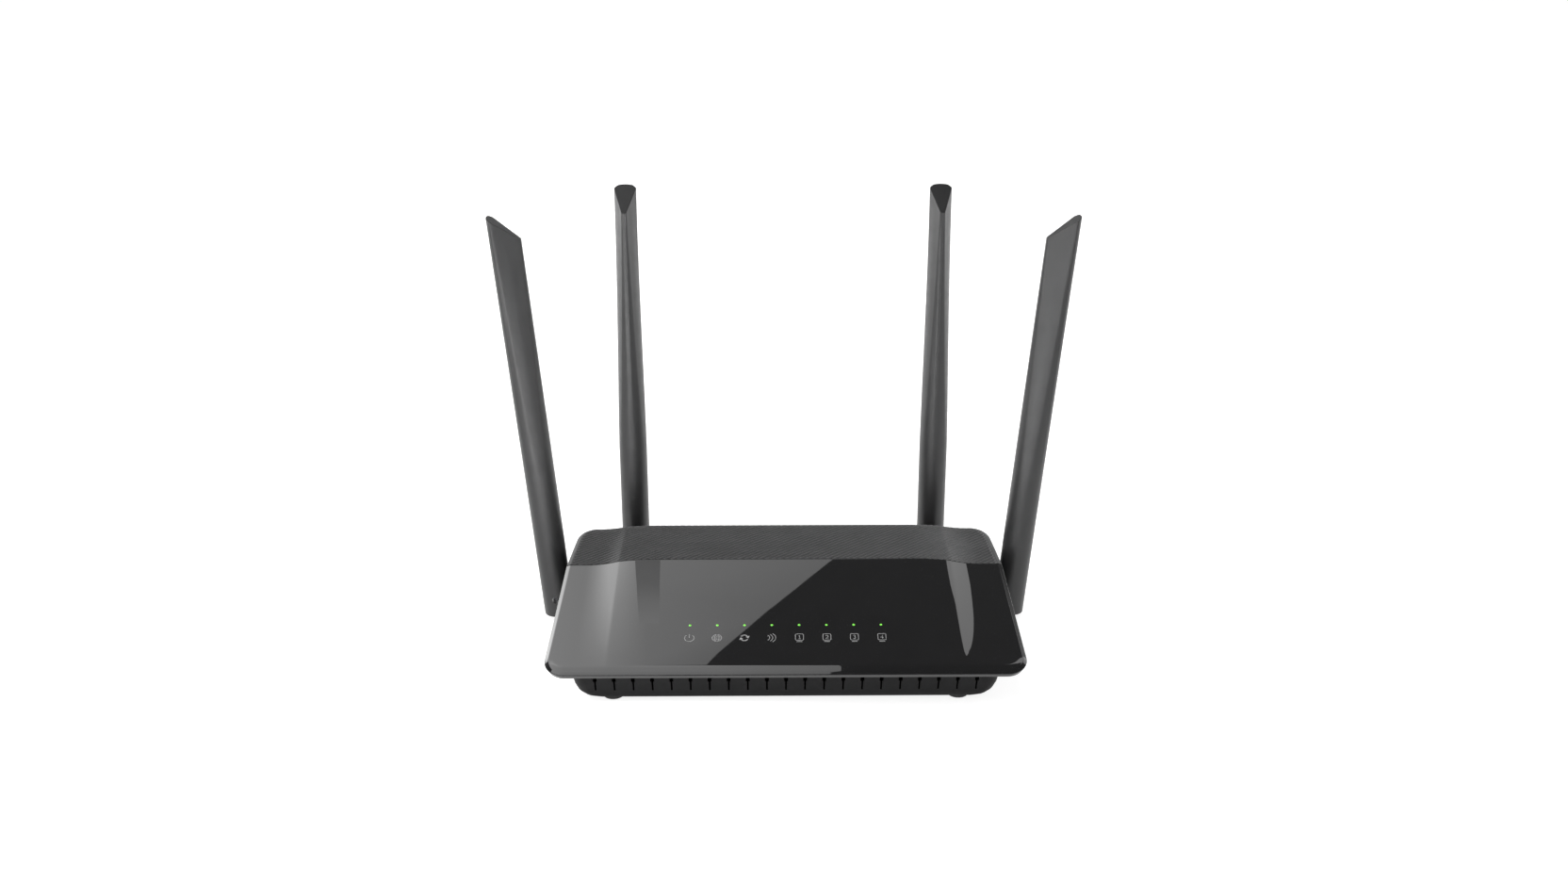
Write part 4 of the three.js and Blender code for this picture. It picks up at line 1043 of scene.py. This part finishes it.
def add_antennas():
    housing = new_object("housing_master", housing_mesh(), ANTENNA)
    cut(housing, [slot_cutter(), bore_cutter()])
    knuckle = new_object("knuckle_master", knuckle_mesh(), KNUCKLE)
    pin = new_object("pin_master", pin_mesh(), OXIDE)
    for name, pivot, turn, lean in ANTENNAS:
        arm = antenna_matrix(pivot, turn, lean)
        still = antenna_matrix(pivot, turn)
        for master, part, matrix, body, finish in (
            (housing, "antenna", arm, "arm", "antenna_plastic"),
            (pin, "hinge_pin", arm, "arm", "screw_steel"),
            (knuckle, "knuckle", still, "swivel", "antenna_plastic"),
        ):
            piece = linked(f"{name}_{part}_fine", master.data)
            piece.matrix_world = matrix
            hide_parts(f"{name}_{part}")
            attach(piece, f"{name}_{body}")
            piece.visible_glossy = False  # the cover mirrors the boards, not the antennas
        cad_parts[f"{name}_element"].visible_glossy = False
    for master in (housing, knuckle, pin):
        bpy.data.objects.remove(master)


# ---------------------------------------------------------------- feet, screws and contacts


def foot_mesh(x, y):
    """A rubber foot with a rounded rim and a shallow dished face."""
    profile = [
        (0, 0.12),
        (FOOT_R - 2.2, 0.12),
        (FOOT_R - 1.6, 0.03),
        (FOOT_R - 1.2, 0.0),
        (FOOT_R - 0.7, 0.05),
        (FOOT_R - 0.25, 0.28),
        (FOOT_R, 0.75),
        (FOOT_R, FOOT_HEIGHT),
        (0, FOOT_HEIGHT),
    ]
    return turned(profile, FOOT_STEPS, Matrix.Translation(placed(x, y, 0)))


def screw_mesh(x, y):
    """A round-headed screw, head down, with a blunt end."""
    top = SCREW_HEAD_Z + SCREW_HEAD_HEIGHT
    profile = [
        (0, SCREW_HEAD_Z + 0.05),
        (SCREW_HEAD_R - 0.9, SCREW_HEAD_Z),
        (SCREW_HEAD_R - 0.3, SCREW_HEAD_Z + 0.25),
        (SCREW_HEAD_R, SCREW_HEAD_Z + 0.7),
        (SCREW_HEAD_R, top),
        (SCREW_R, top),
        (SCREW_R, top + SCREW_LENGTH),
        (0, top + SCREW_LENGTH + 1),
    ]
    return turned(profile, SCREW_STEPS, Matrix.Translation(placed(x, y, 0)))


def cross_cutters(x, y):
    """The arms of a screw's cross recess."""
    cutters = []
    for width, depth in ((2.9, 0.55), (0.55, 2.9)):
        bm = bmesh.new()
        size = Matrix.Diagonal((width * MM, depth * MM, 1.8 * MM, 1))
        bmesh.ops.create_cube(bm, size=1, matrix=Matrix.Translation(placed(x, y, SCREW_HEAD_Z)) @ size)
        cutters.append(bm)
    return cutters


def contacts_mesh():
    """Sprung wires that slant across each jack's mouth."""
    half = CONTACT_WIDTH / 2
    back = JACK_MOUTH_Y - CONTACT_REACH
    low = JACK_CAVITY_TOP - CONTACT_SAG
    path = [
        (JACK_MOUTH_Y - 1.6, JACK_CAVITY_TOP - 0.25),
        (JACK_MOUTH_Y - 2.4, JACK_CAVITY_TOP - 0.35),
        (JACK_MOUTH_Y - 3.2, JACK_CAVITY_TOP - 0.9),
        (back + 1, low + 0.4),
        (back, low),
        (back - 1.4, low + 0.2),
    ]
    bm = bmesh.new()
    for jack_x in JACK_X:
        for i in range(CONTACT_COUNT):
            x = jack_x + (i - (CONTACT_COUNT - 1) / 2) * CONTACT_PITCH
            rows = []
            for y, z in path:
                corners = ((-half, -half), (half, -half), (half, half), (-half, half))
                rows.append([placed(x + across, y, z + up) for across, up in corners])
            loft(bm, rows, closed=True, capped=True)
    return outward(bm)


# ---------------------------------------------------------------- pieces from the CAD nodes


def dress(node, material, width=0.25, angle=35):
    """Gives a CAD node its material, joined-up faces and softened edges; its mesh stays as it is."""
    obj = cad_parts[node]
    obj.data.materials.clear()
    obj.data.materials.append(material)
    obj.data.shade_smooth()
    weld = obj.modifiers.new("weld", "WELD")
    weld.merge_threshold = 1e-6
    soften(obj, width, angle)


DRESSED = (
    # material, edge rounding in millimetres, smallest angle that counts as an edge, nodes
    # The tray's material carries painted shade for the shade under the cover's overhang.
    (TRAY_BLACK_AND_SHADE, 0.3, 32, ("base_tray",)),
    (BOARD, 0.1, 40, ("main_board",)),
    (CHIP, 0.12, 40, ("main_chip", "memory_chip", "flash_chip")),
    (CHIP, 0.3, 40, ("wan_transformer", "lan_transformer", "power_inductor")),
    (CHIP, 0.2, 40, ("power_switch", "wps_switch", "reset_switch")),
    (TIN, 0.15, 20, ("radio_shield_left", "radio_shield_right")),
    (SLEEVE, 0.15, 44, ("capacitor_1", "capacitor_2")),
    (ALUMINIUM, 0.12, 40, ("heatsink",)),
    (JACK, 0.2, 40, ("lan_jack_1", "lan_jack_2", "lan_jack_3", "lan_jack_4", "power_jack")),
    (JACK_BLUE, 0.2, 40, ("wan_jack",)),
    (BUTTON, 0.3, 40, ("power_button", "wps_button", "reset_button")),
    (GUIDE, 0.1, 50, ("light_guide",)),
    (PAPER, 0.05, 40, ("bottom_label",)),
    (JACKET, 0.05, 70, tuple(f"{name}_lead" for name, *_ in ANTENNAS)),
    (COPPER, 0.08, 40, tuple(f"{name}_element" for name, *_ in ANTENNAS)),
)


def case_piece(name, bm, material, stands_for=()):
    """A new piece that rides on the case."""
    piece = new_object(name, bm, material)
    if stands_for:
        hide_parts(*stands_for)
    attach(piece, "case")
    return piece


# ---------------------------------------------------------------- camera, light and floor


def add_camera():
    data = bpy.data.cameras.new("camera")
    data.lens = CAMERA_LENS
    data.sensor_width = CAMERA_SENSOR
    data.clip_start = 0.01
    data.clip_end = 100
    camera = linked("camera", data)
    camera.location = placed(*CAMERA_PLACE)
    camera.rotation_euler = (math.radians(90 - CAMERA_PITCH), 0, math.radians(-CAMERA_YAW))
    bpy.context.scene.camera = camera


def direction(azimuth, elevation):
    """A unit vector: azimuth 0 is straight back, positive to the right."""
    a, e = math.radians(azimuth), math.radians(elevation)
    return Vector((math.sin(a) * math.cos(e), math.cos(a) * math.cos(e), math.sin(e)))


def skyward(right, back):
    """A unit vector from its degrees to the right and to the back of straight up."""
    return direction(math.degrees(math.atan2(right, back)), 90 - math.hypot(right, back))


def mirrored_ray(x, y):
    """A place on the cover, and the way on from there of the camera's ray that it mirrors."""
    slope_x = (top_height(x + SLOPE_STEP, y) - top_height(x - SLOPE_STEP, y)) / (2 * SLOPE_STEP)
    slope_y = (top_height(x, y + SLOPE_STEP) - top_height(x, y - SLOPE_STEP)) / (2 * SLOPE_STEP)
    point = placed(x, y, top_height(x, y))
    seen = (point - placed(*CAMERA_PLACE)).normalized()
    return point, seen.reflect(Vector((-slope_x, -slope_y, 1)).normalized())


def seen_far(x, y):
    """What a place on the cover mirrors at the far boards, in degrees to the right and to the back."""
    point, ahead = mirrored_ray(x, y)
    out = point - CARD_CENTRE
    along = out.dot(ahead)
    reach = math.sqrt(along * along - out.dot(out) + CARD_DISTANCE * CARD_DISTANCE) - along
    toward = (out + reach * ahead).normalized()
    turn = math.atan2(toward.x, toward.y)
    tilt = math.degrees(math.acos(toward.z))
    return tilt * math.sin(turn), tilt * math.cos(turn)


def seen_near(x, y):
    """What a place on the cover mirrors at the near strip."""
    point, ahead = mirrored_ray(x, y)
    return point + STRIP_DISTANCE * ahead


SLOPE_STEP = 0.05  # half the span over which a slope is measured
CARD_CENTRE = placed(0, 78.7, 30)
CARD_DISTANCE = 2.6
# Places where the edge of the left board's image crosses the cover
IMAGE_EDGE = ((22.9, 75.1), (-8.9, 39.0), (-31.0, 12.2))
# The boards that the gloss cover mirrors. Each is a list of rows: its glow, then its points, each
# as degrees to the right and to the back of straight up.
CARDS = {
    "card_back_left": (
        (1.9, (7.1, 36.3), *(seen_far(x, y) for x, y in IMAGE_EDGE), (-4.5, 28.0)),
        (2.5, (-8.3, 39.1), (-7.7, 36.2), (-7.0, 32.8), (-6.2, 29.3), (-7.2, 25.0)),
        (3.6, (-15.0, 41.3), (-13.7, 37.6), (-12.3, 33.8), (-10.9, 30.1), (-10.6, 23.8)),
        (5.4, (-23.5, 44.1), (-20.7, 38.8), (-18.3, 34.4), (-15.5, 29.1), (-15.3, 21.0)),
        (5.4, (-42.4, 42.4), (-36.8, 36.8), (-31.1, 31.1), (-24.7, 24.7), (-21.3, 14.9)),
    ),
    "card_overhead": (
        (2.4, (3.1, 22.0), (3.1, 6.0), (2.6, -33.0)),
        (3.3, (-4.0, 26.0), (-6.0, 6.0), (-8.0, -34.0)),
        (4.0, (-14.0, 26.0), (-20.0, 6.0), (-24.0, -34.0)),
        (4.2, (-30.0, 26.0), (-44.0, 6.0), (-44.0, -30.0)),
    ),
    "card_right": (
        (2.4, (11.2, 30.2), (13.1, 32.5), (15.0, 34.9), (16.8, 36.9), (18.6, 38.2), (22.0, 40.0)),
        (3.1, (24.2, 14.0), (30.3, 17.5), (34.6, 22.0), (36.0, 25.0), (36.0, 28.0), (36.0, 33.0)),
    ),
    "card_rim": (
        (6.0, (-29.0, 43.0), (-40.0, 70.0)),
        (6.0, (-48.0, 30.0), (-74.0, 40.0)),
    ),
    "card_front": (
        (3.0, (-6.0, -68.0), (-8.0, -88.0)),
        (4.0, (-23.0, -65.0), (-32.0, -82.0)),
        (3.0, (-40.0, -55.0), (-56.0, -68.0)),
    ),
}
# A dimmer strip above and behind the case, which the cover mirrors as a faint trace of the left
# rear antenna. Its points are the places on the cover where its image lies.
STRIP_DISTANCE = 0.5
STRIP = (
    (1.45, (-73.3, 76.3), (-61.5, 76.3)),
    (1.65, (-71.3, 58.2), (-60.6, 58.2)),
    (2.2, (-69.9, 45.2), (-59.6, 45.2)),
    (2.6, (-68.0, 31.6), (-59.4, 31.6)),
)
SOFTBOXES = (
    # name, azimuth, elevation, distance, width, height, radiance
    ("softbox_left", -118, 24, 2.0, 0.8, 1.6, 0.6),
    ("softbox_right", 60, 20, 2.0, 0.8, 1.2, 2.0),
)
# The spot that brightens the floor in front, its places in the case's frame
POOL_POWER = 1500
POOL_ANGLE = 26
POOL_FROM = (-320, -760, 1300)
POOL_AT = (-170, -370, 0)
# Glow of the surroundings, and the range of a direction's height over which it changes
HORIZON_GLOW = 0.95
CEILING_GLOW = 0.22
CEILING_START = (0.12, 0.62)
FLOOR_GLOW = 0.84
FLOOR_COLOR = (0.4, 0.4, 0.4)


def far_place(right, back):
    """A point far from the case, from its degrees to the right and to the back of straight up."""
    return CARD_CENTRE + CARD_DISTANCE * skyward(right, back)


def add_card(name, rows, place):
    """A glowing board that the gloss cover mirrors; place turns a row's points into metres."""
    mesh = bpy.data.meshes.new(name)
    width = len(rows[0]) - 1
    points = []
    glows = []
    for glow, *corners in rows:
        points += [tuple(place(*point)) for point in corners]
        glows += [glow] * width
    faces = []
    for row in range(len(rows) - 1):
        for i in range(width - 1):
            first = row * width + i
            faces.append((first, first + 1, first + width + 1, first + width))
    mesh.from_pydata(points, [], faces)
    mesh.attributes.new("glow", "FLOAT", "POINT").data.foreach_set("value", glows)
    material, tree, shader = new_material(name)
    tree.nodes.remove(shader)
    emission = add_node(tree, "ShaderNodeEmission")
    attribute = add_node(tree, "ShaderNodeAttribute", attribute_name="glow")
    tree.links.new(attribute.outputs["Fac"], emission.inputs["Strength"])
    tree.links.new(emission.outputs[0], tree.nodes["Material Output"].inputs["Surface"])
    mesh.materials.append(material)
    obj = linked(name, mesh)
    return obj


def add_softbox(name, azimuth, elevation, distance, width, height, radiance):
    data = bpy.data.lights.new(name, "AREA")
    data.shape = "RECTANGLE"
    data.size = width
    data.size_y = height
    data.energy = radiance * math.pi * width * height
    light = linked(name, data)
    toward = direction(azimuth, elevation)
    light.location = CARD_CENTRE + distance * toward
    light.rotation_euler = toward.to_track_quat("Z", "Y").to_euler()


def add_pool():
    """A spot that brightens the floor in front, which the antennas' round sides mirror."""
    data = bpy.data.lights.new("pool", "SPOT")
    data.energy = POOL_POWER
    data.spot_size = math.radians(POOL_ANGLE)
    data.spot_blend = 1.0
    data.shadow_soft_size = 0.1
    light = linked("pool", data)
    light.visible_glossy = False
    light.location = placed(*POOL_FROM)
    aim = placed(*POOL_AT) - light.location
    light.rotation_euler = aim.to_track_quat("-Z", "Y").to_euler()


def add_world():
    """A pale horizon under a dark ceiling."""
    world = bpy.data.worlds.new("studio")
    bpy.context.scene.world = world
    world.use_nodes = True
    tree = world.node_tree
    place = add_node(tree, "ShaderNodeTexCoord").outputs["Generated"]
    axes = add_node(tree, "ShaderNodeSeparateXYZ")
    tree.links.new(place, axes.inputs[0])
    glow = ramp(tree, axes.outputs["Z"], HORIZON_GLOW, CEILING_GLOW, *CEILING_START)
    tree.nodes["Background"].inputs["Color"].default_value = (1, 1, 1, 1)
    tree.links.new(glow, tree.nodes["Background"].inputs["Strength"])


def add_floor():
    """A pale floor that glows a little, so that it stays even far from the lights."""
    bm = bmesh.new()
    bmesh.ops.create_grid(bm, x_segments=1, y_segments=1, size=9)
    material = plastic("floor_pale", FLOOR_COLOR, 0.8, 0.05, 0.004, 3.0, 0.02, Specular_IOR_Level=0.1)
    shader = material.node_tree.nodes["Principled BSDF"]
    shader.inputs["Emission Color"].default_value = (1, 1, 1, 1)
    shader.inputs["Emission Strength"].default_value = FLOOR_GLOW
    new_object("floor", bm, material)


# ---------------------------------------------------------------- the scene

add_camera()
bpy.context.scene.view_settings.view_transform = "Standard"
add_world()
add_floor()
for card_name, card_rows in CARDS.items():
    add_card(card_name, card_rows, far_place)
add_card("card_strip", STRIP, seen_near).visible_camera = False
for softbox in SOFTBOXES:
    add_softbox(*softbox)
add_pool()

case_piece("gloss_cover", cover_mesh(), GLOSS, ["top_cover"])
case_piece("ribbed_panel", panel_mesh(), RIBBED, ["rear_panel"])
for index in range(LED_COUNT):
    case_piece(f"indicator_{index + 1}", indicator_lens(led_x(index)), LIT)
    case_piece(f"icon_{index + 1}", icon_mesh(led_x(index), *ICONS[index]), PRINT)
for index, (foot_x, foot_y) in enumerate(FEET, 1):
    case_piece(f"foot_{index}_fine", foot_mesh(foot_x, foot_y), RUBBER, [f"foot_{index}"])
for index, (screw_x, screw_y) in enumerate(SCREWS, 1):
    screw = new_object(f"case_screw_{index}_fine", screw_mesh(screw_x, screw_y), ZINC)
    cut(screw, cross_cutters(screw_x, screw_y))
    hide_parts(f"case_screw_{index}")
    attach(screw, "case")
case_piece("jack_contacts", contacts_mesh(), GOLD)
add_antennas()
for finish, edge_width, edge_angle, names in DRESSED:
    for node_name in names:
        dress(node_name, finish, edge_width, edge_angle)
